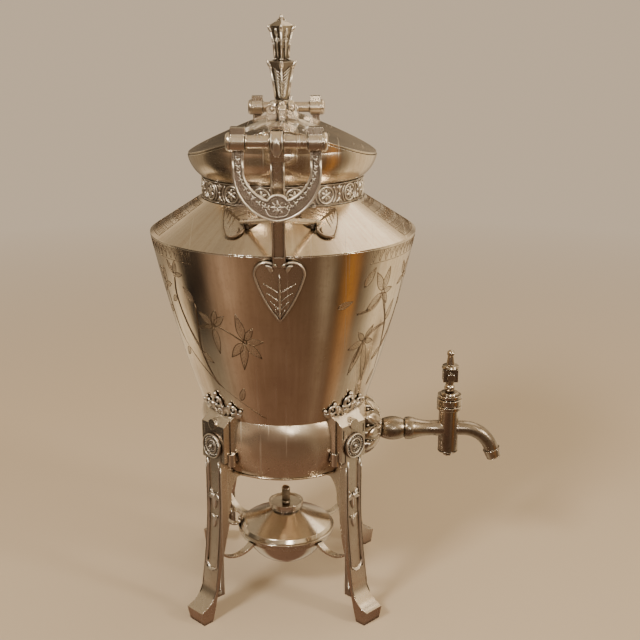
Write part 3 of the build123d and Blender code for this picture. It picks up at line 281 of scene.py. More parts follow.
class FlatWork:
    """Ornament in the making, worked flat with bmesh operators, in millimetres.

    Attributes:
        mesh: What has been made so far.
    """

    def __init__(self) -> None:
        """Start with nothing."""
        self.mesh = bmesh.new()

    def take(self, part: bmesh.types.BMesh) -> None:
        """Move a finished part into the work.

        Args:
            part: The part, which is used up.
        """
        carrier = bpy.data.meshes.new("part")
        part.to_mesh(carrier)
        part.free()
        self.mesh.from_mesh(carrier)
        bpy.data.meshes.remove(carrier)

    def ball(self, at: Flat, radius: float, lift: float = 0.0, squash: float = 1.0) -> None:
        """Add a ball.

        Args:
            at: Its place.
            radius: Its radius.
            lift: How far its middle is off the skin.
            squash: Share of the radius that it keeps away from the skin.
        """
        part = bmesh.new()
        bmesh.ops.create_uvsphere(part, u_segments=14, v_segments=9, radius=radius)
        bmesh.ops.scale(part, vec=(1, 1, squash), verts=part.verts)
        bmesh.ops.translate(part, vec=(at[0], at[1], lift), verts=part.verts)
        self.take(part)

    def petal(self, at: Flat, turn: float, length: float, width: float, height: float) -> None:
        """Add a pointed oval.

        Args:
            at: Where it starts.
            turn: Direction that it runs in, in degrees.
            length: Its length.
            width: Its width.
            height: How far it stands off the skin.
        """
        part = bmesh.new()
        bmesh.ops.create_uvsphere(part, u_segments=12, v_segments=8, radius=1.0)
        for vertex in part.verts:
            vertex.co.y *= 1 - 0.35 * abs(vertex.co.x)
        place = Matrix.Translation((at[0], at[1], 0)) @ Matrix.Rotation(radians(turn), 4, "Z")
        place = place @ Matrix.Translation((length / 2, 0, 0))
        place = place @ Matrix.Diagonal((length / 2, width / 2, height, 1))
        bmesh.ops.transform(part, matrix=place, verts=part.verts)
        self.take(part)

    def ring(
        self,
        at: Flat,
        radius: float,
        wire: float,
        lift: float = 0.0,
        start: float = 0.0,
        sweep: float = 360.0,
    ) -> None:
        """Add a ring of round wire, or an arc of one.

        Args:
            at: Its middle.
            radius: Radius of the wire's middle line.
            wire: Radius of the wire.
            lift: How far its middle is off the skin.
            start: Direction of the arc's start, in degrees.
            sweep: Angle of the arc, in degrees.
        """
        part = bmesh.new()
        whole = sweep >= 360.0
        place = Matrix.Rotation(radians(start), 4, "Z") @ Matrix.Translation((radius, 0, 0))
        place = place @ Matrix.Rotation(pi / 2, 4, "X")
        bmesh.ops.create_circle(part, cap_ends=False, segments=8, radius=wire, matrix=place)
        steps = max(8, int(sweep / 360.0 * (20 + 4 * radius)))
        bmesh.ops.spin(
            part,
            geom=part.edges[:] + part.verts[:],
            cent=(0, 0, 0),
            axis=(0, 0, 1),
            angle=radians(sweep),
            steps=steps,
            use_merge=whole,
        )
        if not whole:
            bmesh.ops.holes_fill(part, edges=[edge for edge in part.edges if edge.is_boundary], sides=8)
        bmesh.ops.recalc_face_normals(part, faces=part.faces)
        bmesh.ops.translate(part, vec=(at[0], at[1], lift), verts=part.verts)
        self.take(part)

    def stroke(
        self,
        path: Sequence[Flat],
        width: float | Sequence[float],
        height: float,
        lift: float = 0.0,
        sides: int = 6,
    ) -> None:
        """Add a raised line along a path.

        Args:
            path: Points of the line's middle.
            width: Width of the line, or one width for each point.
            height: How far it stands off the skin.
            lift: How far its middle is off the skin.
            sides: Number of faces round the line.
        """
        widths = [width] * len(path) if isinstance(width, (int, float)) else list(width)
        frames = []
        for index, (x, y) in enumerate(path):
            before, after = path[max(index - 1, 0)], path[min(index + 1, len(path) - 1)]
            turn = atan2(after[1] - before[1], after[0] - before[0])
            frames.append(
                Matrix.Translation((x, y, lift))
                @ Matrix.Rotation(turn, 4, "Z")
                @ Matrix.Rotation(pi / 2, 4, "Y")
                @ Matrix.Diagonal((height, widths[index] / 2, 1, 1))
            )
        part = bmesh.new()
        bmesh.ops.create_circle(part, cap_ends=True, segments=sides, radius=1.0, matrix=frames[0])
        edges = part.edges[:]
        for previous, current in zip(frames, frames[1:]):
            grown = bmesh.ops.extrude_edge_only(part, edges=edges)["geom"]
            verts = [item for item in grown if isinstance(item, bmesh.types.BMVert)]
            edges = [item for item in grown if isinstance(item, bmesh.types.BMEdge) and item.is_boundary]
            bmesh.ops.transform(part, matrix=current @ previous.inverted(), verts=verts)
        bmesh.ops.contextual_create(part, geom=edges)
        bmesh.ops.recalc_face_normals(part, faces=part.faces)
        self.take(part)

    def leaf(
        self,
        base: Flat,
        tip: Flat,
        width: float,
        height: float,
        belly: float = 0.4,
        crease: float = 0.35,
        sink: float = 0.25,
        bend: float = 0.0,
    ) -> None:
        """Add a leaf with a creased middle and edges that run into the skin.

        Args:
            base: Where the leaf starts.
            tip: Where it ends.
            width: Its full width.
            height: How far its halves stand off the skin.
            belly: Share of the length at which it is widest.
            crease: How deep the middle lies below the halves, as a share of the height.
            sink: How far the edges run below the skin.
            bend: Sideways bend of the middle, as a share of the length.
        """
        part = bmesh.new()
        bmesh.ops.create_grid(part, x_segments=8, y_segments=10, size=0.5)
        length = hypot(tip[0] - base[0], tip[1] - base[1])
        for vertex in part.verts:
            across, along = 2 * vertex.co.x, vertex.co.y + 0.5
            if along < belly:
                swell = sin(pi / 2 * along / belly)
            else:
                swell = cos(pi / 2 * (along - belly) / (1 - belly))
            crown = (1 - across**4) * (1 - crease * (1 - abs(across)) ** 2)
            vertex.co = Vector(
                (
                    across * swell * width / 2 + bend * length * sin(pi * along),
                    along * length,
                    (height + sink) * crown * min(1.0, 3 * swell) - sink,
                )
            )
        bmesh.ops.remove_doubles(part, verts=part.verts, dist=0.01)
        turn = atan2(tip[1] - base[1], tip[0] - base[0]) - pi / 2
        place = Matrix.Translation((base[0], base[1], 0)) @ Matrix.Rotation(turn, 4, "Z")
        bmesh.ops.transform(part, matrix=place, verts=part.verts)
        bmesh.ops.recalc_face_normals(part, faces=part.faces)
        if sum(face.normal.z for face in part.faces) < 0:
            bmesh.ops.reverse_faces(part, faces=part.faces)
        self.take(part)

    def seat(self, seat: Seat) -> "FlatWork":
        """Put every point of the work on a seat.

        Args:
            seat: Where the work goes.

        Returns:
            The work itself.
        """
        for vertex in self.mesh.verts:
            vertex.co = seat.place(vertex.co.copy())
        return self

    def settle(self, seat: Seat, into: "FlatWork") -> None:
        """Put the work on a seat and move it into another work."""
        into.take(self.seat(seat).mesh)

    def copy(self) -> "FlatWork":
        """Copy the work, for a motif that goes on several seats.

        Returns:
            The copy.
        """
        twin = FlatWork()
        twin.take(self.mesh.copy())
        return twin

    def piece(
        self,
        name: str,
        body: Body,
        slot: Slot,
        finish: bpy.types.Material,
        stands_for: Sequence[str] = (),
        smooth: bool = True,
    ) -> bpy.types.Object:
        """Make the work an object of the scene that rides on a body.

        Args:
            name: Name of the piece.
            body: Body it rides on.
            slot: Material slot of the piece; not used.
            finish: Material of the piece.
            stands_for: Nodes that it replaces.
            smooth: Whether its faces are shaded smooth.

        Returns:
            The new object.
        """
        bmesh.ops.scale(self.mesh, vec=(MM, MM, MM), verts=self.mesh.verts)
        mesh = bpy.data.meshes.new(name)
        self.mesh.to_mesh(mesh)
        self.mesh.free()
        mesh.materials.append(finish)
        mesh.polygons.foreach_set("use_smooth", [smooth] * len(mesh.polygons))
        piece = bpy.data.objects.new(name, mesh)
        show(piece)
        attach(piece, body.value)
        if stands_for:
            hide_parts(*stands_for)
        LOG.info("%s: %d faces", name, len(mesh.polygons))
        return piece


def arc(centre: Flat, radius: float, start: float, end: float, count: int) -> list[Flat]:
    """Return points along an arc between two angles in degrees."""
    turns = [radians(start + (end - start) * index / (count - 1)) for index in range(count)]
    return [(centre[0] + radius * cos(turn), centre[1] + radius * sin(turn)) for turn in turns]


def arc_through(first: Flat, middle: Flat, last: Flat, count: int, inset: float = 0.0) -> list[Flat]:
    """Return points along the arc through three places.

    Args:
        first: Start of the arc.
        middle: Place that the arc passes.
        last: End of the arc.
        count: Number of points.
        inset: How much smaller the arc's radius is taken, about the same centre.

    Returns:
        Points from the first to the last.
    """
    (ax, ay), (bx, by), (cx, cy) = first, middle, last
    spread = 2 * (ax * (by - cy) + bx * (cy - ay) + cx * (ay - by))
    a2, b2, c2 = ax * ax + ay * ay, bx * bx + by * by, cx * cx + cy * cy
    x = (a2 * (by - cy) + b2 * (cy - ay) + c2 * (ay - by)) / spread
    y = (a2 * (cx - bx) + b2 * (ax - cx) + c2 * (bx - ax)) / spread
    turns = [atan2(py - y, px - x) for px, py in (first, middle, last)]
    sweep = (turns[2] - turns[0]) % (2 * pi)
    if (turns[1] - turns[0]) % (2 * pi) > sweep:
        sweep -= 2 * pi
    radius = hypot(ax - x, ay - y) - inset
    steps = [turns[0] + sweep * index / (count - 1) for index in range(count)]
    return [(x + radius * cos(turn), y + radius * sin(turn)) for turn in steps]


def curve(points: Sequence[Flat], count: int) -> list[Flat]:
    """Draw a smooth line through a few points.

    Args:
        points: Places that the line passes.
        count: Number of points to return.

    Returns:
        Evenly counted points of the line.
    """
    ends = [
        (2 * points[0][0] - points[1][0], 2 * points[0][1] - points[1][1]),
        *points,
        (2 * points[-1][0] - points[-2][0], 2 * points[-1][1] - points[-2][1]),
    ]
    made = []
    for index in range(count):
        place = index / (count - 1) * (len(points) - 1)
        run = min(int(place), len(points) - 2)
        t = place - run
        a, b, c, d = ends[run : run + 4]
        made.append(
            tuple(
                0.5
                * (
                    2 * b[k]
                    + (c[k] - a[k]) * t
                    + (2 * a[k] - 5 * b[k] + 4 * c[k] - d[k]) * t**2
                    + (3 * b[k] - a[k] - 3 * c[k] + d[k]) * t**3
                )
                for k in (0, 1)
            )
        )
    return made


# Finishes and the groups they share

NUMBER = "NodeSocketFloat"
VECTOR = "NodeSocketVector"
# Inputs of the Mix node for colours: the share, the first colour and the second
MIX_INPUTS = ("i0", "i6", "i7")


class Wiring:
    """Short ways to add and join nodes of one tree.

    Attributes:
        tree: Tree that the nodes go into.
    """

    def __init__(self, tree: bpy.types.NodeTree) -> None:
        """Keep the tree."""
        self.tree = tree

    def node(self, kind: str, **settings: object) -> bpy.types.Node:
        """Add a node.

        Args:
            kind: Type of the node.
            settings: Values or sockets by the name of a property or an input. i0 is the first input.

        Returns:
            The new node.
        """
        made = self.tree.nodes.new(kind)
        sockets = {}
        for name, value in settings.items():
            if hasattr(made, name):
                setattr(made, name, value)
            else:
                sockets[name] = value
        for name, value in sockets.items():
            numbered = name[0] == "i" and name[1:].isdigit()
            target = made.inputs[int(name[1:])] if numbered else made.inputs[name]
            if isinstance(value, bpy.types.NodeSocket):
                self.tree.links.new(value, target)
            else:
                target.default_value = value
        return made

    def join(self, value: bpy.types.NodeSocket, node: bpy.types.Node, label: str) -> None:
        """Join a value to an input of a node."""
        self.tree.links.new(value, node.inputs[label])

    def place(self) -> bpy.types.NodeSocket:
        """Return the place on the piece, in the object's own axes."""
        return self.node("ShaderNodeTexCoord").outputs["Object"]

    def split(self, value: bpy.types.NodeSocket) -> bpy.types.NodeOutputs:
        """Return the X, Y and Z of a place or direction."""
        return self.node("ShaderNodeSeparateXYZ", Vector=value).outputs

    def stretch(self, place: object, scale: Spot, turn: Spot = (0, 0, 0)) -> bpy.types.NodeSocket:
        """Return a place that is turned by angles in radians and scaled."""
        return self.node("ShaderNodeMapping", Vector=place, Rotation=turn, Scale=scale).outputs[0]

    def math(
        self, operation: str, first: object, second: object = 0.5, clamp: bool = False
    ) -> bpy.types.NodeSocket:
        """Return the result of a calculation on two numbers or sockets."""
        made = self.node("ShaderNodeMath", operation=operation, use_clamp=clamp, i0=first, i1=second)
        return made.outputs[0]

    def share(self, value: bpy.types.NodeSocket, part: float) -> bpy.types.NodeSocket:
        """Return a value times a number."""
        return self.math("MULTIPLY", value, part)

    def noise(self, place: object, scale: object, detail: float) -> bpy.types.NodeSocket:
        """Return a cloudy value between 0 and 1."""
        return self.node("ShaderNodeTexNoise", Vector=place, Scale=scale, Detail=detail).outputs["Fac"]

    def ramp(self, value: bpy.types.NodeSocket, low: float, high: float) -> bpy.types.NodeSocket:
        """Return a value stretched so that low becomes 0 and high becomes 1."""
        ends = {"From Min": low, "From Max": high}
        return self.node("ShaderNodeMapRange", clamp=True, Value=value, **ends).outputs["Result"]

    def mix(self, share: object, first: object, second: object) -> bpy.types.NodeSocket:
        """Blend two colours.

        Args:
            share: Share of the second colour, a number or a socket.
            first: Colour or socket.
            second: Colour or socket.

        Returns:
            The blend.
        """
        colours = [(*way, 1.0) if isinstance(way, tuple) else way for way in (first, second)]
        inputs = dict(zip(MIX_INPUTS, (share, *colours)))
        return self.node("ShaderNodeMix", data_type="RGBA", **inputs).outputs[2]

    def bump(
        self, height: object, strength: float, depth: float, normal: bpy.types.NodeSocket | None = None
    ) -> bpy.types.NodeSocket:
        """Turn a height into a normal.

        Args:
            height: Height from 0 to 1.
            strength: Strength of the unevenness.
            depth: Depth of the unevenness in metres.
            normal: Normal that it is added to, if it isn't the surface's own.

        Returns:
            The uneven normal.
        """
        made = self.node("ShaderNodeBump", Strength=strength, Distance=depth, Height=height)
        if normal is not None:
            self.join(normal, made, "Normal")
        return made.outputs[0]


class GroupWiring(Wiring):
    """Wiring of a new shader node group.

    Attributes:
        start: Node that holds the group's inputs.
        end: Node that holds its outputs.
    """

    def __init__(self, name: str, inputs: dict[str, float], outputs: dict[str, str]) -> None:
        """Start the group.

        Args:
            name: Name of the group.
            inputs: Names of its number inputs, each with its usual value.
            outputs: Names of its outputs, each with its socket type.
        """
        super().__init__(bpy.data.node_groups.new(name, "ShaderNodeTree"))
        for label, value in inputs.items():
            socket = self.tree.interface.new_socket(label, in_out="INPUT", socket_type=NUMBER)
            socket.default_value = value
        for label, kind in outputs.items():
            self.tree.interface.new_socket(label, in_out="OUTPUT", socket_type=kind)
        self.start = self.tree.nodes.new("NodeGroupInput")
        self.end = self.tree.nodes.new("NodeGroupOutput")

    def given(self, label: str) -> bpy.types.NodeSocket:
        """Return the value of one of the group's inputs."""
        return self.start.outputs[label]

    def give(self, label: str, value: bpy.types.NodeSocket) -> None:
        """Join a value to one of the group's outputs."""
        self.join(value, self.end, label)


def make_tarnish_group() -> bpy.types.NodeTree:
    """Build the group that says where the plate has gone dull: clouds, blushes and small spots.

    Returns:
        The group.
    """
    group = GroupWiring(
        "tarnish",
        {"Cloud Scale": 30.0, "Spot Scale": 400.0},
        {"Clouds": NUMBER, "Blushes": NUMBER, "Spots": NUMBER},
    )
    place = group.place()
    apart = group.node("ShaderNodeVectorMath", operation="ADD", i0=place, i1=(3.1, 1.7, 2.3))
    clouds = group.noise(place, group.given("Cloud Scale"), 6.0)
    blushes = group.noise(apart.outputs[0], group.given("Cloud Scale"), 2.0)
    spots = group.noise(place, group.given("Spot Scale"), 3.0)
    group.give("Clouds", group.ramp(clouds, 0.38, 0.68))
    group.give("Blushes", group.ramp(blushes, 0.5, 0.7))
    group.give("Spots", group.ramp(spots, 0.55, 0.72))
    return group.tree


def make_handling_group() -> bpy.types.NodeTree:
    """Build the group for wear: polishing lines, slight dents and fine scratches.

    Returns:
        The group.
    """
    group = GroupWiring(
        "handling",
        {"Line Scale": 900.0, "Dent Scale": 14.0},
        {"Lines": NUMBER, "Dents": NUMBER, "Scratches": NUMBER},
    )
    place = group.place()
    upright = group.stretch(place, (1.0, 1.0, 0.06))
    scratched = []
    for turn in ((0.5, 0.3, 0.9), (-0.8, 0.6, -0.4)):
        across = group.stretch(place, (420.0, 9.0, 9.0), turn)
        scratched.append(group.ramp(group.noise(across, 1.0, 2.0), 0.69, 0.73))
    group.give("Lines", group.noise(upright, group.given("Line Scale"), 2.0))
    group.give("Dents", group.noise(place, group.given("Dent Scale"), 1.0))
    group.give("Scratches", group.math("MAXIMUM", *scratched))
    return group.tree


def make_streak_group() -> bpy.types.NodeTree:
    """Build the group for faint streaks that run straight up the urn's walls.

    Returns:
        The group.
    """
    group = GroupWiring("streaks", {"Streak Scale": 26.0}, {"Streaks": NUMBER})
    place = group.split(group.place())
    level = group.node("ShaderNodeCombineXYZ", X=place["X"], Y=place["Y"])
    around = group.node("ShaderNodeVectorMath", operation="NORMALIZE", i0=level.outputs[0])
    turn = group.split(around.outputs[0])
    slow = group.share(place["Z"], 0.8)
    drawn = group.node("ShaderNodeCombineXYZ", X=turn["X"], Y=turn["Y"], Z=slow)
    noise = group.noise(drawn.outputs[0], group.given("Streak Scale"), 5.0)
    group.give("Streaks", group.ramp(noise, 0.35, 0.7))
    return group.tree


def make_edge_group() -> bpy.types.NodeTree:
    """Build the group that rounds sharp edges and says where they are rubbed bright and given a painted
    highlight.

    Returns:
        The group.
    """
    group = GroupWiring("edges", {"Edge Width": 0.0005}, {"Edge": NUMBER, "Rounded": VECTOR})
    rounded = group.node("ShaderNodeBevel", samples=6, Radius=group.given("Edge Width")).outputs[0]
    plain = group.node("ShaderNodeNewGeometry").outputs["Normal"]
    along = group.node("ShaderNodeVectorMath", operation="DOT_PRODUCT", i0=rounded, i1=plain)
    away = group.math("SUBTRACT", 1.0, along.outputs["Value"])
    group.give("Edge", group.ramp(away, 0.01, 0.12))
    group.give("Rounded", rounded)
    return group.tree


def new_material(name: str) -> tuple[bpy.types.Material, Wiring, bpy.types.Node]:
    """Start a material.

    Args:
        name: Name of the material.

    Returns:
        The material, the wiring of its tree and its shader.
    """
    made = bpy.data.materials.new(name)
    made.use_nodes = True
    return made, Wiring(made.node_tree), made.node_tree.nodes["Principled BSDF"]


@dataclass(frozen=True)
class Plate:
    """Silver plate, bright on top, with tarnish and painted shade down in the hollows.

    Attributes:
        name: Name of the finish.
        bright: Colour where it is polished.
        dull: Colour of the tarnish.
        roughness: Roughness where it is polished.
        tarnish: Share of tarnish, from 0 to 1.
        dents: Strength of the slight dents.
        dent_scale: How close the dents stand.
        lines: Strength of the polishing lines.
        stipple: Strength of a punched ground, or 0.
        streaks: Share of the faint upright streaks, or 0.
        worn: Colour of the rubbed edges, partly wear and partly a painted highlight.
        blush: Colour of the purplish blushes.
        hollow: Colour down in the hollows: tarnish and painted shade.
        hollow_reach: Size of the hollows that darken with tarnish and painted shade, in metres.
        hollow_light: Shares of open view at which a hollow is darkest and at which it ends.
        edge_width: Width of the rounded edges in metres.
        edge_wear_and_highlight_share: Share of the rubbed colour, with its painted highlight, on an edge.
        spot_share: Share of the small spots in the tarnish.
        blush_share: Share of the blushes in the tarnish.
        scratch_share: Share of the bright colour in a scratch.
        dull_roughness: Roughness that tarnish adds.
        line_roughness: Roughness that the polishing lines add.
        scratch_roughness: Roughness that a scratch adds.
        dent_depth: Depth of the dents in metres.
        line_depth: Depth of the polishing lines in metres.
        stipple_depth: Depth of the punched ground in metres.
        stipple_scale: How close its punch marks stand.
    """

    name: str
    bright: Colour
    dull: Colour
    roughness: float = 0.16
    tarnish: float = 0.4
    dents: float = 0.12
    dent_scale: float = 14.0
    lines: float = 0.03
    stipple: float = 0.0
    streaks: float = 0.0
    # Edge colour: rubbed wear and a painted highlight
    worn: Colour = (0.95, 0.90, 0.80)
    blush: Colour = (0.50, 0.38, 0.34)
    hollow: Colour = (0.055, 0.038, 0.026)
    hollow_reach: float = 0.004
    hollow_light: Flat = (0.35, 0.85)
    edge_width: float = 0.0005
    edge_wear_and_highlight_share: float = 0.8
    spot_share: float = 0.5
    blush_share: float = 0.7
    scratch_share: float = 0.12
    dull_roughness: float = 0.22
    line_roughness: float = 0.06
    scratch_roughness: float = 0.15
    dent_depth: float = 0.004
    line_depth: float = 0.0002
    stipple_depth: float = 0.0003
    stipple_scale: float = 1500.0

    def material(self, groups: dict[str, bpy.types.NodeTree]) -> bpy.types.Material:
        """Build the material.

        Args:
            groups: The shared groups by name.

        Returns:
            The material.
        """
        made, wires, shader = new_material(self.name)
        shader.inputs["Metallic"].default_value = 1.0
        tarnish = wires.node("ShaderNodeGroup", node_tree=groups["tarnish"]).outputs
        scale = {"Dent Scale": self.dent_scale}
        handling = wires.node("ShaderNodeGroup", node_tree=groups["handling"], **scale).outputs
        width = {"Edge Width": self.edge_width}
        edges = wires.node("ShaderNodeGroup", node_tree=groups["edges"], **width).outputs
        cloud = wires.share(tarnish["Clouds"], self.tarnish)
        spot = wires.share(tarnish["Spots"], self.tarnish * self.spot_share)
        dulled = wires.math("ADD", cloud, spot, clamp=True)
        if self.streaks:
            streaks = wires.node("ShaderNodeGroup", node_tree=groups["streaks"]).outputs["Streaks"]
            dulled = wires.math("ADD", dulled, wires.share(streaks, self.streaks), clamp=True)
        blush = wires.share(tarnish["Blushes"], self.tarnish * self.blush_share)
        colour = wires.mix(blush, self.bright, self.blush)
        colour = wires.mix(dulled, colour, self.dull)
        colour = wires.mix(wires.share(handling["Scratches"], self.scratch_share), colour, self.bright)
        # Rubbed wear and a painted highlight on the edges
        colour = wires.mix(wires.share(edges["Edge"], self.edge_wear_and_highlight_share), colour, self.worn)
        # Tarnish and painted shade in the hollows, from ambient occlusion
        shade = wires.node("ShaderNodeAmbientOcclusion", samples=6, Distance=self.hollow_reach)
        open_view = wires.ramp(shade.outputs["AO"], *self.hollow_light)
        wires.join(wires.mix(open_view, self.hollow, colour), shader, "Base Color")
        rough = wires.math("ADD", wires.share(dulled, self.dull_roughness), self.roughness)
        rough = wires.math("ADD", rough, wires.share(handling["Lines"], self.line_roughness))
        rough = wires.math("ADD", rough, wires.share(handling["Scratches"], self.scratch_roughness))
        wires.join(rough, shader, "Roughness")
        normal = wires.bump(handling["Dents"], self.dents, self.dent_depth, edges["Rounded"])
        normal = wires.bump(handling["Lines"], self.lines, self.line_depth, normal)
        if self.stipple:
            marks = wires.node("ShaderNodeTexVoronoi", Vector=wires.place(), Scale=self.stipple_scale)
            normal = wires.bump(marks.outputs["Distance"], self.stipple, self.stipple_depth, normal)
        wires.join(normal, shader, "Normal")
        return made


@dataclass(frozen=True)
class Plain:
    """Plain material with a noisy colour, such as leather, cotton or brass.

    Attributes:
        name: Name of the finish.
        light: Lighter colour.
        dark: Darker colour.
        scale: Scale of the change between them.
        roughness: Roughness of the surface.
        metallic: 1 for metal and 0 for anything else.
        bump: Strength of the surface's unevenness.
        depth: Depth of the unevenness in metres.
        fineness: How much closer the unevenness stands than the colours.
    """

    name: str
    light: Colour
    dark: Colour
    scale: float
    roughness: float
    metallic: float = 0.0
    bump: float = 0.2
    depth: float = 0.0004
    fineness: float = 6.0

    def material(self, groups: dict[str, bpy.types.NodeTree]) -> bpy.types.Material:
        """Build the material.

        Args:
            groups: The shared groups by name.

        Returns:
            The material.
        """
        made, wires, shader = new_material(self.name)
        shader.inputs["Metallic"].default_value = self.metallic
        shader.inputs["Roughness"].default_value = self.roughness
        scales = {"Cloud Scale": self.scale, "Spot Scale": self.scale * self.fineness}
        tarnish = wires.node("ShaderNodeGroup", node_tree=groups["tarnish"], **scales).outputs
        wires.join(wires.mix(tarnish["Clouds"], self.light, self.dark), shader, "Base Color")
        wires.join(wires.bump(tarnish["Spots"], self.bump, self.depth), shader, "Normal")
        return made


@dataclass(frozen=True)
class Finishes:
    """All finishes of the urn.

    Attributes:
        shell: Polished plate of the shells.
        worn: Softer plate of the bowl.
        engraved: Dark engraved lines, also the painted shadow round the shoulder leaves.
        frosted: Matted leaves of the engraving.
        relief: Bright raised ornament.
        ground: Dark punched ground behind relief.
        cast: Cast plate of handles and legs.
        tap: Tarnished plate of the tap and the finial.
        lamp: Satin plate of the lamp.
        soot: Sooty plate of the wick tube.
        brass: Bare brass of nuts and washers.
        seal: Leather of the seal.
        wick: Charred cotton.
    """

    shell: bpy.types.Material
    worn: bpy.types.Material
    engraved: bpy.types.Material
    frosted: bpy.types.Material
    relief: bpy.types.Material
    ground: bpy.types.Material
    cast: bpy.types.Material
    tap: bpy.types.Material
    lamp: bpy.types.Material
    soot: bpy.types.Material
    brass: bpy.types.Material
    seal: bpy.types.Material
    wick: bpy.types.Material

    @classmethod
    def build(cls) -> "Finishes":
        """Build the shared groups and every finish.

        Returns:
            The finishes.
        """
        groups = {
            "tarnish": make_tarnish_group(),
            "handling": make_handling_group(),
            "streaks": make_streak_group(),
            "edges": make_edge_group(),
        }
        warm, worn, dark = (0.90, 0.81, 0.67), (0.50, 0.36, 0.23), (0.30, 0.22, 0.15)
        pale, brown = (0.93, 0.88, 0.79), (0.58, 0.47, 0.35)
        finishes = (
            Plate("plated shell", warm, worn, 0.11, 0.3, streaks=0.25),
            Plate("worn shell", warm, worn, 0.22, 0.5, dents=0.9, dent_scale=38.0),
            Plate("engraved line", (0.22, 0.16, 0.10), (0.10, 0.07, 0.045), 0.4, worn=dark),
            Plate("frosted leaf", (0.80, 0.70, 0.56), worn, 0.27, lines=0.6),
            Plate("raised relief", pale, brown, 0.26, 0.25, dents=0.0),
            Plate("punched ground", (0.36, 0.30, 0.24), (0.16, 0.12, 0.09), 0.3, stipple=0.7),
            Plate("cast plate", (0.86, 0.78, 0.66), (0.38, 0.28, 0.19), 0.2, dents=0.25),
            Plate("tarnished plate", (0.56, 0.49, 0.40), (0.15, 0.12, 0.09), 0.13, 0.8),
            Plate("satin plate", (0.79, 0.72, 0.62), (0.38, 0.30, 0.22), 0.12, 0.35),
            Plate("sooty plate", (0.012, 0.01, 0.008), (0.006, 0.005, 0.004), 0.5, worn=brown),
            Plain("bare brass", (0.76, 0.58, 0.30), (0.52, 0.36, 0.16), 60.0, 0.28, metallic=1.0),
            Plain("leather seal", (0.26, 0.16, 0.09), (0.12, 0.07, 0.04), 200.0, 0.75),
            Plain("charred cotton", (0.30, 0.16, 0.07), (0.03, 0.02, 0.015), 150.0, 0.95, bump=0.8),
        )
        return cls(*(finish.material(groups) for finish in finishes))


# Sub-assemblies of the urn


def dress(finish: bpy.types.Material, *nodes: str) -> None:
    """Give nodes of the frame their finish.

    Args:
        finish: Material of the nodes.
        nodes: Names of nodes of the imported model.
    """
    for node in nodes:
        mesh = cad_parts[node].data
        mesh.materials.clear()
        mesh.materials.append(finish)


@dataclass
class Part:
    """Part of the urn that is dressed and given its ornament.

    Attributes:
        finishes: All finishes of the urn.
    """

    finishes: Finishes

    def build(self) -> None:
        """Dress the part's nodes and build its ornament."""
        raise NotImplementedError


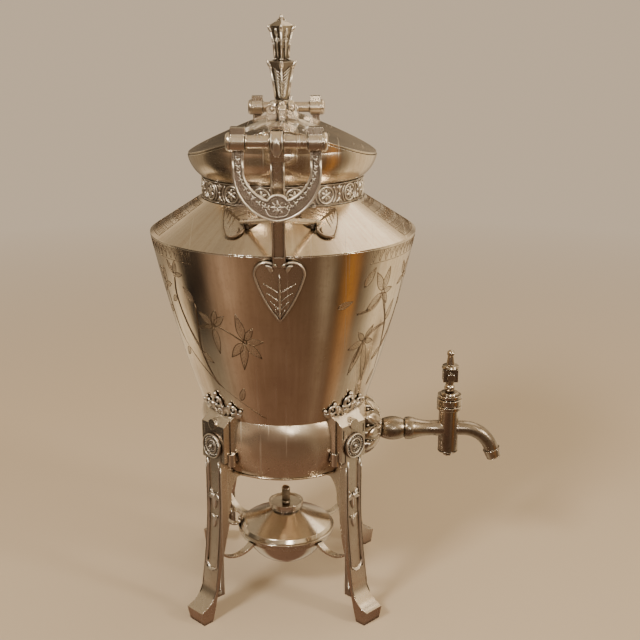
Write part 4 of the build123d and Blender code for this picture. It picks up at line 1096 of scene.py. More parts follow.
@dataclass
class Shell(Part):
    """Body of the urn: bowl, cone, shoulder and mouth, with the engraving on them.

    Attributes:
        nodes: Solids of polished plate.
        cone_radius: Radius at which the sprays' sideways lengths are true.
        border_radius: Radius at which the border's sideways lengths are true.
        crease_z: Height of the crease.
        border_drop: How far the zigzag border hangs below the crease.
        border_gap: Angle on both sides of a handle that the border leaves free.
        zigzags: Number of teeth of the border all round.
        panel_radius: Radius at which the shoulder panels' sideways lengths are true.
        panel_half: Half the width of a shoulder panel.
        panel_rows: Reaches of the lines between the rows of a shoulder panel.
        rosette_reach: Reach of the middles of the panel's rosettes.
    """

    nodes: tuple[str, ...] = ("body_shell", "shoulder", "mouth_collar", "base_ring")
    cone_radius: float = 84.0
    border_radius: float = 95.0
    crease_z: float = 283.1
    border_drop: float = 9.0
    border_gap: float = 41.0
    zigzags: int = 96
    panel_radius: float = 84.0
    panel_half: int = 36
    panel_rows: tuple[float, ...] = (60.5, 65.0, 70.0, 81.5, 86.0, 92.5)
    rosette_reach: float = 75.8

    def build(self) -> None:
        """Dress the shells and engrave them."""
        dress(self.finishes.worn, "lower_bowl")
        dress(self.finishes.shell, *self.nodes)
        cone = skin_of(["body_shell"])
        self.engrave_border(cone)
        self.engrave_sprays(cone)
        self.engrave_shoulder()

    def engrave_border(self, cone: BVHTree) -> None:
        """Engrave the zigzag border below the crease, left out in front of the handles.

        Args:
            cone: Skin of the cone.
        """
        lines = FlatWork()
        pitch = 360.0 / self.zigzags
        half = radians(pitch) / 2 * self.border_radius
        top, foot = self.crease_z - 1.6, self.crease_z - self.border_drop
        for index in range(self.zigzags):
            azimuth = index * pitch
            if min(abs(azimuth - FRONT), abs(azimuth - BACK)) < self.border_gap:
                continue
            tooth = FlatWork()
            tooth.stroke([(-half, top), (0, foot), (half, top)], 0.5, 0.14)
            tooth.stroke([(-half * 0.45, top), (0, foot + 3.2), (half * 0.45, top)], 0.4, 0.12)
            for height in (top + 0.4, foot - 0.8):
                tooth.stroke([(-half, height), (half, height)], 0.4, 0.13)
            tooth.settle(RoundSeat(cone, azimuth, self.border_radius), lines)
        lines.piece("border_engraving", Body.URN, Slot.SHELL, self.finishes.engraved)

    def engrave_sprays(self, cone: BVHTree) -> None:
        """Engrave a spray of stems, leaves and flowers on each quarter of the cone.

        Args:
            cone: Skin of the cone.
        """
        sprays = (
            front_left_spray(225.0, 1),
            front_right_spray(315.0, 1),
            front_right_spray(45.0, -1),
            front_left_spray(135.0, -1),
        )
        for number, spray in enumerate(sprays, start=1):
            lines, leaves = FlatWork(), FlatWork()
            spray.draw(lines, leaves)
            seat = RoundSeat(cone, spray.azimuth, self.cone_radius)
            lines.seat(seat).piece(f"spray_lines_{number}", Body.URN, Slot.SHELL, self.finishes.engraved)
            leaves.seat(seat).piece(f"spray_leaves_{number}", Body.URN, Slot.SHELL, self.finishes.frosted)

    def engrave_shoulder(self) -> None:
        """Engrave the crossed and striped panels on the shoulder."""
        skin = skin_of(["shoulder"])
        lines = FlatWork()
        for azimuth in (0.0, 180.0):
            self.shoulder_panel().settle(TopSeat(skin, azimuth, self.panel_radius), lines)
        lines.piece("shoulder_engraving", Body.URN, Slot.SHELL, self.finishes.engraved)

    def shoulder_panel(self) -> FlatWork:
        """Draw one panel flat: crosses and strokes inside, rosettes in the middle, peaks outside.

        Returns:
            The panel.
        """
        panel = FlatWork()
        half, middle = self.panel_half, self.rosette_reach
        inner, outer = self.panel_rows[0], self.panel_rows[-1]
        for reach in self.panel_rows:
            panel.stroke([(side, reach) for side in range(-half, half + 1, 4)], 0.45, 0.12)
        for side in (-half, half):
            panel.stroke([(side, inner), (side, 76.0), (side, outer)], 0.45, 0.12)
        for side in range(-half, half, 3):
            panel.stroke([(side, 60.8), (side + 3, 64.8)], 0.32, 0.1)
            panel.stroke([(side + 3, 60.8), (side, 64.8)], 0.32, 0.1)
            panel.stroke([(side, 86.4), (side + 1.5, 92.0), (side + 3, 86.4)], 0.34, 0.1)
        for side in range(4 - half, half - 3, 8):
            panel.stroke(arc((side, middle), 3.6, 0, 360, 17), 0.4, 0.12)
            panel.stroke(arc((side, middle), 1.7, 0, 360, 11), 0.34, 0.1)
            panel.stroke([(side + 4, 70.2), (side + 4, 81.2)], 0.3, 0.1)
            for turn in (45, 135, 225, 315):
                panel.petal((side, middle), turn, 3.2, 1.0, 0.12)
        for side in range(2 - half, half - 1, 4):
            panel.stroke([(side, 65.4), (side, 69.6)], 0.36, 0.1)
            panel.stroke([(side - 1.4, 82.0), (side, 85.6), (side + 1.4, 82.0)], 0.34, 0.1)
        return panel


@dataclass
class Spray:
    """Engraved spray of stems and pointed leaves, drawn flat on one quarter of the cone.

    Attributes:
        azimuth: Middle of the quarter.
        hand: 1 as drawn, or -1 for the other hand.
        stems: Way points of the stems.
        stars: Middle of each group of leaves, with the tips of its leaves.
        singles: Foot and tip of the leaves that stand alone.
        stem_lines: Sideways step and width of each line of a stem.
        slenderness: Width of a leaf as a share of its length.
        widest: Greatest width of a leaf.
        edge_shares: Shares of a leaf's length at which its edge is drawn.
        vein_shares: Shares of a leaf's length at which its side veins start.
    """

    azimuth: float
    hand: int
    stems: tuple[tuple[Flat, ...], ...]
    stars: tuple[tuple[Flat, tuple[Flat, ...]], ...]
    singles: tuple[tuple[Flat, Flat], ...]
    stem_lines: tuple[Flat, ...] = ((0.0, 0.62), (1.5, 0.5), (-1.3, 0.4), (2.8, 0.4))
    slenderness: float = 0.36
    widest: float = 6.0
    edge_shares: tuple[float, ...] = (0, 0.12, 0.26, 0.4, 0.55, 0.7, 0.85, 1)
    vein_shares: tuple[float, ...] = (0.2, 0.34, 0.48, 0.62, 0.76)

    def flip(self, at: Flat) -> Flat:
        """Return a point on the hand that is drawn."""
        return (self.hand * at[0], at[1])

    def draw(self, lines: FlatWork, leaves: FlatWork) -> None:
        """Draw the whole spray.

        Args:
            lines: Work for the engraved lines.
            leaves: Work for the matted faces of the leaves.
        """
        for stem in self.stems:
            path = curve([self.flip(point) for point in stem], 30)
            for step, width in self.stem_lines:
                line = [
                    (x + step * self.hand * (1 - index / 34), y - 0.4 * step)
                    for index, (x, y) in enumerate(path)
                ]
                lines.stroke(line, width, 0.13)
        for middle, tips in self.stars:
            for tip in tips:
                self.leaf(self.flip(middle), self.flip(tip), lines, leaves)
            lines.stroke(arc(self.flip(middle), 1.5, 0, 360, 13), 0.4, 0.1)
        for foot, tip in self.singles:
            self.leaf(self.flip(foot), self.flip(tip), lines, leaves)

    def leaf(self, foot: Flat, tip: Flat, lines: FlatWork, leaves: FlatWork) -> None:
        """Draw one pointed leaf with its outline, middle and side veins.

        Args:
            foot: Where its stalk starts.
            tip: Where it ends.
            lines: Work for the engraved lines.
            leaves: Work for the matted face.
        """
        length = hypot(tip[0] - foot[0], tip[1] - foot[1])
        along = ((tip[0] - foot[0]) / length, (tip[1] - foot[1]) / length)
        width = min(self.slenderness * length, self.widest)
        start = (foot[0] + along[0] * 1.2, foot[1] + along[1] * 1.2)
        leaves.leaf(start, tip, width, 0.05, crease=0.0, sink=0.03)

        def spot(share: float, side: float) -> Flat:
            """Return a point of the leaf at a share of its length and a distance to one side."""
            return (
                start[0] + (tip[0] - start[0]) * share - along[1] * side,
                start[1] + (tip[1] - start[1]) * share + along[0] * side,
            )

        for side in (-1, 1):
            edge = [spot(share, side * width / 2 * sin(pi * share**0.75)) for share in self.edge_shares]
            lines.stroke(edge, 0.62, 0.14)
            for share in self.vein_shares:
                reach = side * width * 0.32 * sin(pi * share**0.75)
                lines.stroke([spot(share, 0), spot(share + 0.13, reach)], 0.3, 0.1)
        lines.stroke([spot(0, 0), spot(0.93, 0)], 0.45, 0.12)


def front_left_spray(azimuth: float, hand: int) -> Spray:
    """Return the spray whose long stems sweep up and away from the front.

    Args:
        azimuth: Middle of its quarter, in degrees.
        hand: 1 as drawn, or -1 for the other hand.

    Returns:
        The spray.
    """
    return Spray(
        azimuth,
        hand,
        stems=(
            ((48, 161), (28, 172), (6, 186), (-2, 207), (1, 226), (4, 244)),
            ((9, 182), (-17, 203), (-30, 218), (-31, 250)),
            ((1, 226), (16, 231), (27, 228), (40, 221)),
            ((-2, 207), (-12, 226), (-16, 246), (-12, 262)),
        ),
        stars=(
            ((40, 221), ((36, 242), (47, 232), (54, 222), (52, 209), (37, 199), (28, 208))),
            ((17, 230), ((21, 243), (27, 239), (6, 239), (8, 228), (18, 209))),
            ((-31, 251), ((-36, 264), (-26, 266), (-20, 254), (-40, 244))),
            ((-12, 262), ((-18, 272), (-8, 273), (-3, 264))),
        ),
        singles=(
            ((4, 244), (-5, 255)), ((-2, 207), (9, 200)), ((-20, 206), (-30, 198)),
            ((-31, 235), (-42, 228)), ((-16, 246), (-25, 240)), ((28, 172), (34, 184)),
        ),
    )


def front_right_spray(azimuth: float, hand: int) -> Spray:
    """Return the spray that hangs beside the tap.

    Args:
        azimuth: Middle of its quarter, in degrees.
        hand: 1 as drawn, or -1 for the other hand.

    Returns:
        The spray.
    """
    return Spray(
        azimuth,
        hand,
        stems=(
            ((10, 250), (16, 238), (24, 224), (30, 204), (34, 186)),
            ((24, 224), (10, 222), (0, 215), (-6, 200)),
            ((10, 250), (2, 240), (-12, 238)),
            ((30, 204), (40, 216), (44, 236), (38, 256)),
        ),
        stars=(
            ((10, 250), ((0, 266), (13, 268), (21, 251), (18, 240), (-4, 239))),
            ((1, 215), ((-7, 223), (8, 226), (12, 213), (-14, 211), (-9, 190), (12, 181))),
            ((38, 256), ((32, 268), (44, 268), (50, 254), (29, 251))),
        ),
        singles=(
            ((-10, 256), (-2, 270)), ((24, 224), (30, 240)), ((30, 204), (19, 196)),
            ((-29, 244), (-17, 248)), ((34, 186), (26, 174)), ((44, 236), (55, 231)),
        ),
    )


@dataclass
class NeckBand(Part):
    """Band round the neck: roundels with rosettes, and brackets between them.

    Attributes:
        radius: Radius of the band.
        middle_z: Height of the roundels' middles.
        count: Number of roundels.
        first: Azimuth of one roundel.
        rosette_radius: Radius of the outer circle.
        petals: Number of petals of a rosette.
    """

    radius: float = 57.1
    middle_z: float = 315.15
    count: int = 16
    first: float = 279.5
    rosette_radius: float = 5.6
    petals: int = 6

    def build(self) -> None:
        """Dress the band and set the relief on it."""
        dress(self.finishes.ground, "neck_band")
        skin = skin_of(["neck_band"])
        motif = self.motif()
        relief = FlatWork()
        for number in range(self.count):
            azimuth = self.first + number * 360.0 / self.count
            motif.copy().settle(RoundSeat(skin, azimuth, self.radius), relief)
        motif.mesh.free()
        relief.piece("band_relief", Body.URN, Slot.RELIEF, self.finishes.relief)

    def motif(self) -> FlatWork:
        """Draw one roundel flat, with its rosette and the bracket beside it.

        Returns:
            The motif.
        """
        motif = FlatWork()
        middle = (0.0, self.middle_z)
        motif.ring(middle, self.rosette_radius, 0.72)
        motif.ball(middle, 1.35, squash=0.9)
        for number in range(self.petals):
            turn = 60 * number + 30
            motif.petal(middle, turn, 4.4, 2.1, 0.85)
            motif.stroke(arc(middle, 4.3, turn + 14, turn + 46, 6), 0.5, 0.5)
        half_pitch = pi * self.radius / self.count
        for start in (-44, 136):
            motif.ring(middle, self.rosette_radius + 2.3, 0.62, start=start, sweep=88)
        for lift in (-1, 1):
            motif.petal((half_pitch, self.middle_z + lift * 1.6), 90 * lift, 5.0, 2.6, 0.85)
            for side in (-1, 1):
                foot = (half_pitch + side * 0.6, self.middle_z + lift * 3.6)
                motif.petal(foot, 180 - 90 * lift - 52 * side * lift, 3.0, 1.3, 0.6)
            edge = [(side, self.middle_z + lift * 6.9) for side in (-half_pitch, 0, half_pitch)]
            motif.stroke(edge, 0.5, 0.4)
        motif.ball((half_pitch, self.middle_z), 1.1)
        return motif


@dataclass
class Lid(Part):
    """Lid with its sunburst, and the finial on its leafy base.

    Attributes:
        ray_count: Number of raised rays round the finial.
        ray_inner: Radius at which the rays start.
        ray_outer: Radius at which the long rays end.
        short_share: Length of the short rays' reach, as a share of the long ones'.
        curl_centre: Reach and height of the middle of a curl under the finial.
        curl_radius: Radius of a curl.
        base_top_z: Height of the finial's foot.
    """

    ray_count: int = 36
    ray_inner: float = 8.0
    ray_outer: float = 30.0
    short_share: float = 0.78
    curl_centre: Flat = (7.2, 367.9)
    curl_radius: float = 4.0
    base_top_z: float = 374.1

    def build(self) -> None:
        """Dress the lid, and build the rays and the finial's ornament."""
        dress(self.finishes.shell, "lid_shell", "lid_bezel")
        dress(self.finishes.tap, "finial")
        dress(self.finishes.cast, "finial_base")
        dress(self.finishes.brass, "finial_washer", "finial_nut")
        self.build_rays()
        self.build_base()
        self.build_finial()

    def build_rays(self) -> None:
        """Raise the rays of the sunburst on the lid."""
        skin = skin_of(["lid_shell"])
        rays = FlatWork()
        for number in range(self.ray_count):
            outer = self.ray_outer if number % 2 else self.ray_outer * self.short_share
            ray = FlatWork()
            path = [(0.0, self.ray_inner + (outer - self.ray_inner) * t) for t in (0, 0.25, 0.5, 0.75, 1)]
            ray.stroke(path, [0.8, 1.0, 1.3, 1.3, 0.1], 0.8, sides=8)
            ray.settle(TopSeat(skin, 360.0 * number / self.ray_count), rays)
        rays.piece("lid_rays", Body.LID, Slot.SHELL, self.finishes.relief)

    def build_base(self) -> None:
        """Add rims, eyes and small leaves to the four curls under the finial."""
        work = FlatWork()
        for azimuth in (0.0, 90.0, 180.0, 270.0):
            out = outwards(azimuth)
            curl = FlatWork()
            for lift in (-1.9, 1.9):
                curl.ring((0, 0), self.curl_radius - 0.5, 0.55, lift=lift)
                curl.ball((0, 0), 1.5, lift=lift * 0.75)
                curl.ball((3.4, -4.6), 1.1, lift=lift * 0.6)
            curl.settle(PlaneSeat(out * self.curl_centre[0] + UP * self.curl_centre[1], out, UP), work)
            face = FlatWork()
            face.leaf((0, 365.4), (0, 374.4), 6.4, 9.4, sink=-4.6, belly=0.45)
            face.settle(PlaneSeat(ORIGIN, beside(out), UP), work)
        work.piece("finial_base_leaves", Body.LID, Slot.CAST, self.finishes.cast)

    def build_finial(self) -> None:
        """Add the veined leaves, the collar tips, the ridges and the crown to the finial."""
        skin = skin_of(["finial"])
        work = FlatWork()
        for number in range(4):
            azimuth = 90.0 * number
            self.finial_face(veined=number % 2 == 1).settle(FacingSeat(skin, azimuth, 2.0), work)
            self.finial_edge().settle(PlaneSeat(ORIGIN, outwards(azimuth), UP), work)
        knob = FlatWork()
        for turn in (60, 90, 120):
            knob.petal((0, self.base_top_z + 50.0), turn, 6.6 if turn == 90 else 4.6, 3.0, 1.6)
        knob.ball((0, self.base_top_z + 56.0), 1.3)
        knob.settle(PlaneSeat(ORIGIN, outwards(0.0), UP), work)
        work.piece("finial_ornament", Body.LID, Slot.CAST, self.finishes.relief)

    def finial_face(self, veined: bool) -> FlatWork:
        """Draw what lies on one of the finial's four faces.

        Args:
            veined: Whether its lower leaf has side veins.

        Returns:
            The face's ornament.
        """
        face = FlatWork()
        foot = self.base_top_z
        for step in range(9 if veined else 0):
            rise = foot + 0.8 + step * 2.1
            reach = 2.8 + 0.36 * step
            for side in (-1, 1):
                vein = [(side * 0.3, rise), (side * reach * 0.6, rise + 2.0), (side * reach, rise + 4.6)]
                face.stroke(vein, [0.8, 1.25, 0.5], 0.75)
        face.stroke([(0, foot + 0.4), (0, foot + 12.0), (0, foot + 22.6)], [0.9, 1.7, 1.2], 1.0)
        face.stroke([(0, foot + 27.6), (0, foot + 38.0), (0, foot + 49.8)], [1.0, 1.4, 1.9], 1.0)
        for side in (-1, 1):
            rim = [(side * 2.5, foot + 27.8), (side * 2.6, foot + 38.0), (side * 3.4, foot + 44.0)]
            face.stroke(rim, 0.7, 0.6)
            face.stroke(arc((side * 3.1, foot + 40.6), 1.3, 0, 360, 11), 0.6, 0.5)
            face.petal((side * 2.4, foot + 43.2), 90 - side * 22, 5.8, 1.7, 0.7)
        return face

    def finial_edge(self) -> FlatWork:
        """Draw the leaf tips, beads and ridge of the finial seen from one side.

        Returns:
            The edge's ornament.
        """
        edge = FlatWork()
        foot = self.base_top_z
        edge.petal((6.4, foot + 20.8), 58, 7.4, 3.2, 1.6)
        edge.petal((6.4, foot + 27.4), 168, 3.6, 1.2, 1.4)
        edge.petal((6.2, foot + 45.2), 56, 6.4, 2.6, 1.3)
        edge.stroke([(8.4, foot + 50.0), (4.6, foot + 51.2), (2.0, foot + 54.4)], [1.2, 1.0, 0.8], 0.8)
        edge.ball((6.2, foot + 41.2), 0.8)
        edge.ball((5.6, foot + 37.4), 0.7)
        edge.stroke([(4.6, foot + 0.4), (7.9, foot + 21.6)], 0.9, 0.5)
        return edge


@dataclass(frozen=True)
class HeartLine:
    """Outline of a heart leaf, drawn flat, with its notch at one end and its tip at the other.

    Attributes:
        notch: Place of the notch.
        tip: Place of the tip.
        half_width: Half of the greatest width.
    """

    notch: Flat
    tip: Flat
    half_width: float

    def spot(self, share: float, side: float) -> Flat:
        """Find a point of the leaf.

        Args:
            share: Share of the length, from the notch.
            side: Share of the half width to one side.

        Returns:
            The point.
        """
        length = hypot(self.tip[0] - self.notch[0], self.tip[1] - self.notch[1])
        along = ((self.tip[0] - self.notch[0]) / length, (self.tip[1] - self.notch[1]) / length)
        return (
            self.notch[0] + along[0] * share * length - along[1] * side * self.half_width,
            self.notch[1] + along[1] * share * length + along[0] * side * self.half_width,
        )

    def edge(self, side: int, inset: float) -> list[Flat]:
        """Draw half of the outline.

        Args:
            side: 1 or -1 for the side.
            inset: How far it lies inside the leaf's edge.

        Returns:
            Points from the notch to the tip.
        """
        widest = self.spot(0.14, side)
        lobe = arc_through(self.notch, self.spot(-0.12, side * 0.52), widest, 14, inset)
        flank = arc_through(widest, self.spot(0.56, side * 0.64), self.tip, 18, inset)
        return lobe[1:] + flank[1:]

    def draw(self, work: FlatWork, rim: float, height: float) -> None:
        """Draw rims, rolled lobes and veins.

        Args:
            work: Work to draw in.
            rim: Width of the rim.
            height: How far the rim stands off the leaf.
        """
        for side in (-1, 1):
            edge = self.edge(side, rim * 0.5)
            widths = [rim * (1.25 - 0.7 * index / (len(edge) - 1)) for index in range(len(edge))]
            work.stroke(edge, widths, height, sides=8)
            places = ((0.075, 0.3), (-0.02, 0.36), (-0.045, 0.52))
            roll = curve([self.spot(share, side * reach) for share, reach in places], 9)
            widths = [rim * width for width in (0.5, 1.2, 1.8, 2.1, 2.0, 1.8, 1.5, 1.2, 0.8)]
            work.stroke(roll, widths, height * 1.5, sides=10)
            for share, reach in ((0.30, 0.62), (0.46, 0.50), (0.62, 0.36), (0.76, 0.2)):
                vein = [
                    self.spot(share + 0.16, 0.0),
                    self.spot(share + 0.07, side * reach * 0.45),
                    self.spot(share - 0.02, side * reach),
                ]
                work.stroke(curve(vein, 5), [0.9, 0.85, 0.7, 0.5, 0.15], height * 0.6)
        widths = [0.5, 0.9, 1.2, 1.5, 1.7, 1.8, 1.8, 1.6, 1.2]
        vein = [self.spot(0.10 + share * 0.105, 0.0) for share in range(9)]
        work.stroke(vein, widths, height * 0.9, sides=8)


@dataclass
class DropHandle(Part):
    """One drop handle: post, leaves, bar and bail.

    Attributes:
        word: Front or back.
        azimuth: Direction of the handle from the axis.
        body: Body of the bail.
        bar_reach: Reach of the bar's axis.
        bar_z: Height of the bar's axis.
        bar_rings: Place along the bar, radius and wire of each of its turned rings.
        notch_z: Height of the heart leaf's notch.
        heart_length: Length of the heart leaf.
        heart_half_width: Half its width.
        brace_notch: Side and reach of the brace leaf's notch.
        brace_tip: Side and reach of its tip.
        brace_half_width: Half the brace leaf's width.
        collar_side: Distance of the bail's collars from the middle of the bar.
        collar_width: Width of the plating on a collar.
        collar_radius: Radius of the plating on a collar.
        lug_size: Depth, width and height of the plating on a lug.
        bail_line: Places of the bail's middle line, sideways and up from the bar.
        bail_face: How far the bail's faces stand from its middle.
    """

    word: str
    azimuth: float
    body: Body
    bar_reach: float = 114.2
    bar_z: float = 358.9
    bar_rings: tuple[Spot, ...] = ((4.3, 4.3, 0.5), (18.4, 4.3, 0.5), (28.6, 5.5, 0.45), (30.2, 4.0, 0.4))
    notch_z: float = 276.4
    heart_length: float = 39.0
    heart_half_width: float = 17.0
    brace_notch: Flat = (23.0, 71.0)
    brace_tip: Flat = (37.5, 50.5)
    brace_half_width: float = 13.0
    collar_side: float = 23.4
    collar_width: float = 8.56
    collar_radius: float = 6.03
    lug_size: Spot = (8.06, 8.56, 8.93)
    bail_line: tuple[Flat, ...] = (
        (0.0, -40.2), (7.6, -39.2), (14.6, -33.6),
        (20.2, -26.0), (23.1, -18.5), (23.5, -8.0),
    )
    bail_face: float = 1.15

    def build(self) -> None:
        """Dress the handle's nodes and build its ornament."""
        for part in ("handle_post", "heart_leaf", "brace_leaf_a", "brace_leaf_b", "handle_bar", "bar_caps"):
            dress(self.finishes.cast, f"{self.word}_{part}")
        dress(self.finishes.ground, f"{self.word}_bail")
        self.build_post()
        self.build_heart()
        self.build_braces()
        self.build_bar_rings()
        self.build_collars()
        self.build_bail()

    def build_post(self) -> None:
        """Add the beaded rims of the strap and the small leaf below the eye."""
        post = FacingSeat(skin_of([f"{self.word}_handle_post"]), self.azimuth)
        work = FlatWork()
        for side in (-1, 1):
            work.stroke([(side * 3.8, z) for z in range(279, 346, 6)], 1.25, 0.7, sides=8)
        work.leaf((0, self.bar_z + 3.5), (0, self.bar_z - 9.8), 6.2, 1.2, belly=0.62)
        for side in (-1, 1):
            edge = [(side * 3.2, self.bar_z + 5), (side * 3.3, self.bar_z - 3), (0, self.bar_z - 9.6)]
            work.stroke(curve(edge, 9), 0.9, 0.9)
        work.seat(post).piece(f"{self.word}_post_ornament", Body.URN, Slot.CAST, self.finishes.relief)

    def build_heart(self) -> None:
        """Add the rim, rolled lobes and veins of the heart leaf."""
        skin = skin_of([f"{self.word}_heart_leaf", f"{self.word}_handle_post", "body_shell"])
        work = FlatWork()
        heart = HeartLine((0, self.notch_z), (0, self.notch_z - self.heart_length), self.heart_half_width)
        heart.draw(work, 1.7, 1.1)
        work.seat(FacingSeat(skin, self.azimuth))
        work.piece(f"{self.word}_heart_veins", Body.URN, Slot.CAST, self.finishes.relief)

    def build_braces(self) -> None:
        """Add dark rims and veins to the two leaves on the shoulder; the dark rims are a painted shadow
        along the leaves' raised edges.
        """
        skin = skin_of([f"{self.word}_brace_leaf_a", f"{self.word}_brace_leaf_b", "shoulder"])
        work = FlatWork()
        for hand in (-1, 1):
            notch = (hand * self.brace_notch[0], self.brace_notch[1])
            tip = (hand * self.brace_tip[0], self.brace_tip[1])
            HeartLine(notch, tip, self.brace_half_width).draw(work, 0.7, 0.4)
        work.seat(TopSeat(skin, self.azimuth))
        # The dark rims are a painted shadow along the leaves' raised edges
        work.piece(f"{self.word}_brace_rims", Body.URN, Slot.CAST, self.finishes.engraved)

    def build_bar_rings(self) -> None:
        """Add turned rings to the bar and steps to its caps."""
        out = outwards(self.azimuth)
        work = FlatWork()
        for place, radius, wire in self.bar_rings:
            for hand in (-1, 1):
                ring = FlatWork()
                ring.ring((0, 0), radius, wire)
                centre = out * self.bar_reach + beside(out) * hand * place + UP * self.bar_z
                ring.settle(PlaneSeat(centre, out, UP), work)
        work.piece(f"{self.word}_bar_rings", Body.URN, Slot.CAST, self.finishes.cast)

    def build_collars(self) -> None:
        """Plate the bail's two collars and the square lugs on them brighter than the rest of it."""
        turn = Matrix.Rotation(radians(self.azimuth), 4, "Z")
        work = FlatWork()
        for hand in (-1, 1):
            centre = turn @ Matrix.Translation((self.bar_reach, hand * self.collar_side, self.bar_z))
            lying = centre @ Matrix.Rotation(pi / 2, 4, "X")
            bmesh.ops.create_cone(
                work.mesh,
                cap_ends=True,
                segments=48,
                radius1=self.collar_radius,
                radius2=self.collar_radius,
                depth=self.collar_width,
                matrix=lying,
            )
            lug = Matrix.Diagonal((*self.lug_size, 1.0))
            raised = centre @ Matrix.Translation((0, 0, self.lug_size[2] / 2)) @ lug
            bmesh.ops.create_cube(work.mesh, size=1.0, matrix=raised)
        work.piece(f"{self.word}_bail_collars", self.body, Slot.CAST, self.finishes.cast, smooth=False)

    def bail_path(self, share: float) -> Flat:
        """Find a point of the bail's middle line.

        Args:
            share: Place along the line, from one arm at -1 to the other at 1.

        Returns:
            The point.
        """
        hand = 1 if share >= 0 else -1
        x, y = curve(self.bail_line, 41)[min(40, int(abs(share) * 40))]
        return (hand * x, self.bar_z + y)

    def hung(self, side: int, *points: Flat) -> list[Flat]:
        """Return points of the bail that are given as distances to one side of and below the bar."""
        return [(side * x, self.bar_z - drop) for x, drop in points]

    def build_bail(self) -> None:
        """Add the scrolling relief and the cross of the bail, on both faces."""
        relief = FlatWork()
        self.draw_scrolls(relief)
        self.draw_outline(relief)
        self.draw_cross(relief)
        work = FlatWork()
        out = outwards(self.azimuth)
        for hand in (1, -1):
            seat = PlaneSeat(out * (self.bar_reach + hand * self.bail_face), beside(out) * hand, UP)
            relief.copy().settle(seat, work)
        relief.mesh.free()
        work.piece(f"{self.word}_bail_relief", self.body, Slot.RELIEF, self.finishes.relief)

    def draw_scrolls(self, relief: FlatWork) -> None:
        """Scatter small leaves and beads along the bail.

        Args:
            relief: Work to draw in.
        """
        chance = random.Random(7)
        for step in range(-12, 13):
            share = step / 12.5
            if abs(share) < 0.16:
                continue
            x, y = self.bail_path(share)
            turn = 45 + 90 * (step % 2) + chance.uniform(-18, 18)
            relief.petal((x - 1.5 * cos(radians(turn)), y - 1.5 * sin(radians(turn))), turn, 3.4, 1.25, 0.6)
            relief.petal((x, y), turn + 100, 2.2, 0.9, 0.5)
            relief.petal((x, y), turn - 115, 2.0, 0.9, 0.5)
            relief.ball((x + chance.uniform(-1.8, 1.8), y + 2.1), 0.5)

    def draw_outline(self, relief: FlatWork) -> None:
        """Draw the raised lines along the bail's outer and inner edge.

        Args:
            relief: Work to draw in.
        """
        for side in (-1, 1):
            outer = self.hung(side, (26.3, 11.0), (26.3, 16.0))
            outer += arc_through(*self.hung(side, (26.9, 20.0), (20.44, 37.2), (0.0, 48.7)), 22, 0.6)
            inner = self.hung(side, (20.7, 11.0), (20.7, 16.0))
            inner += arc_through(*self.hung(side, (20.1, 20.0), (14.87, 29.3), (6.4, 35.0)), 16, -0.6)
            inner += arc_through(*self.hung(side, (6.4, 35.2), (3.6, 32.5), (0.0, 31.6)), 9, 0.6)
            relief.stroke(outer, 1.55, 0.85, sides=8)
            relief.stroke(inner, 1.45, 0.85, sides=8)

    def draw_cross(self, relief: FlatWork) -> None:
        """Draw the cross in the middle of the bail and the scrolls below it.

        Args:
            relief: Work to draw in.
        """
        middle = (0.0, self.bar_z - 39.6)
        for turn in (0, 90, 180, 270):
            relief.petal(middle, turn, 4.6, 1.7, 0.65)
            between = radians(turn + 45)
            foot = (middle[0] + 2.2 * cos(between), middle[1] + 2.2 * sin(between))
            relief.petal(foot, turn + 45, 2.4, 1.1, 0.5)
        relief.ring(middle, 2.0, 0.4)
        for side in (-1, 1):
            scroll = curve(self.hung(side, (7.4, 40.6), (5.2, 44.6), (0, 45.6)), 9)
            relief.stroke(scroll, 0.8, 0.55)


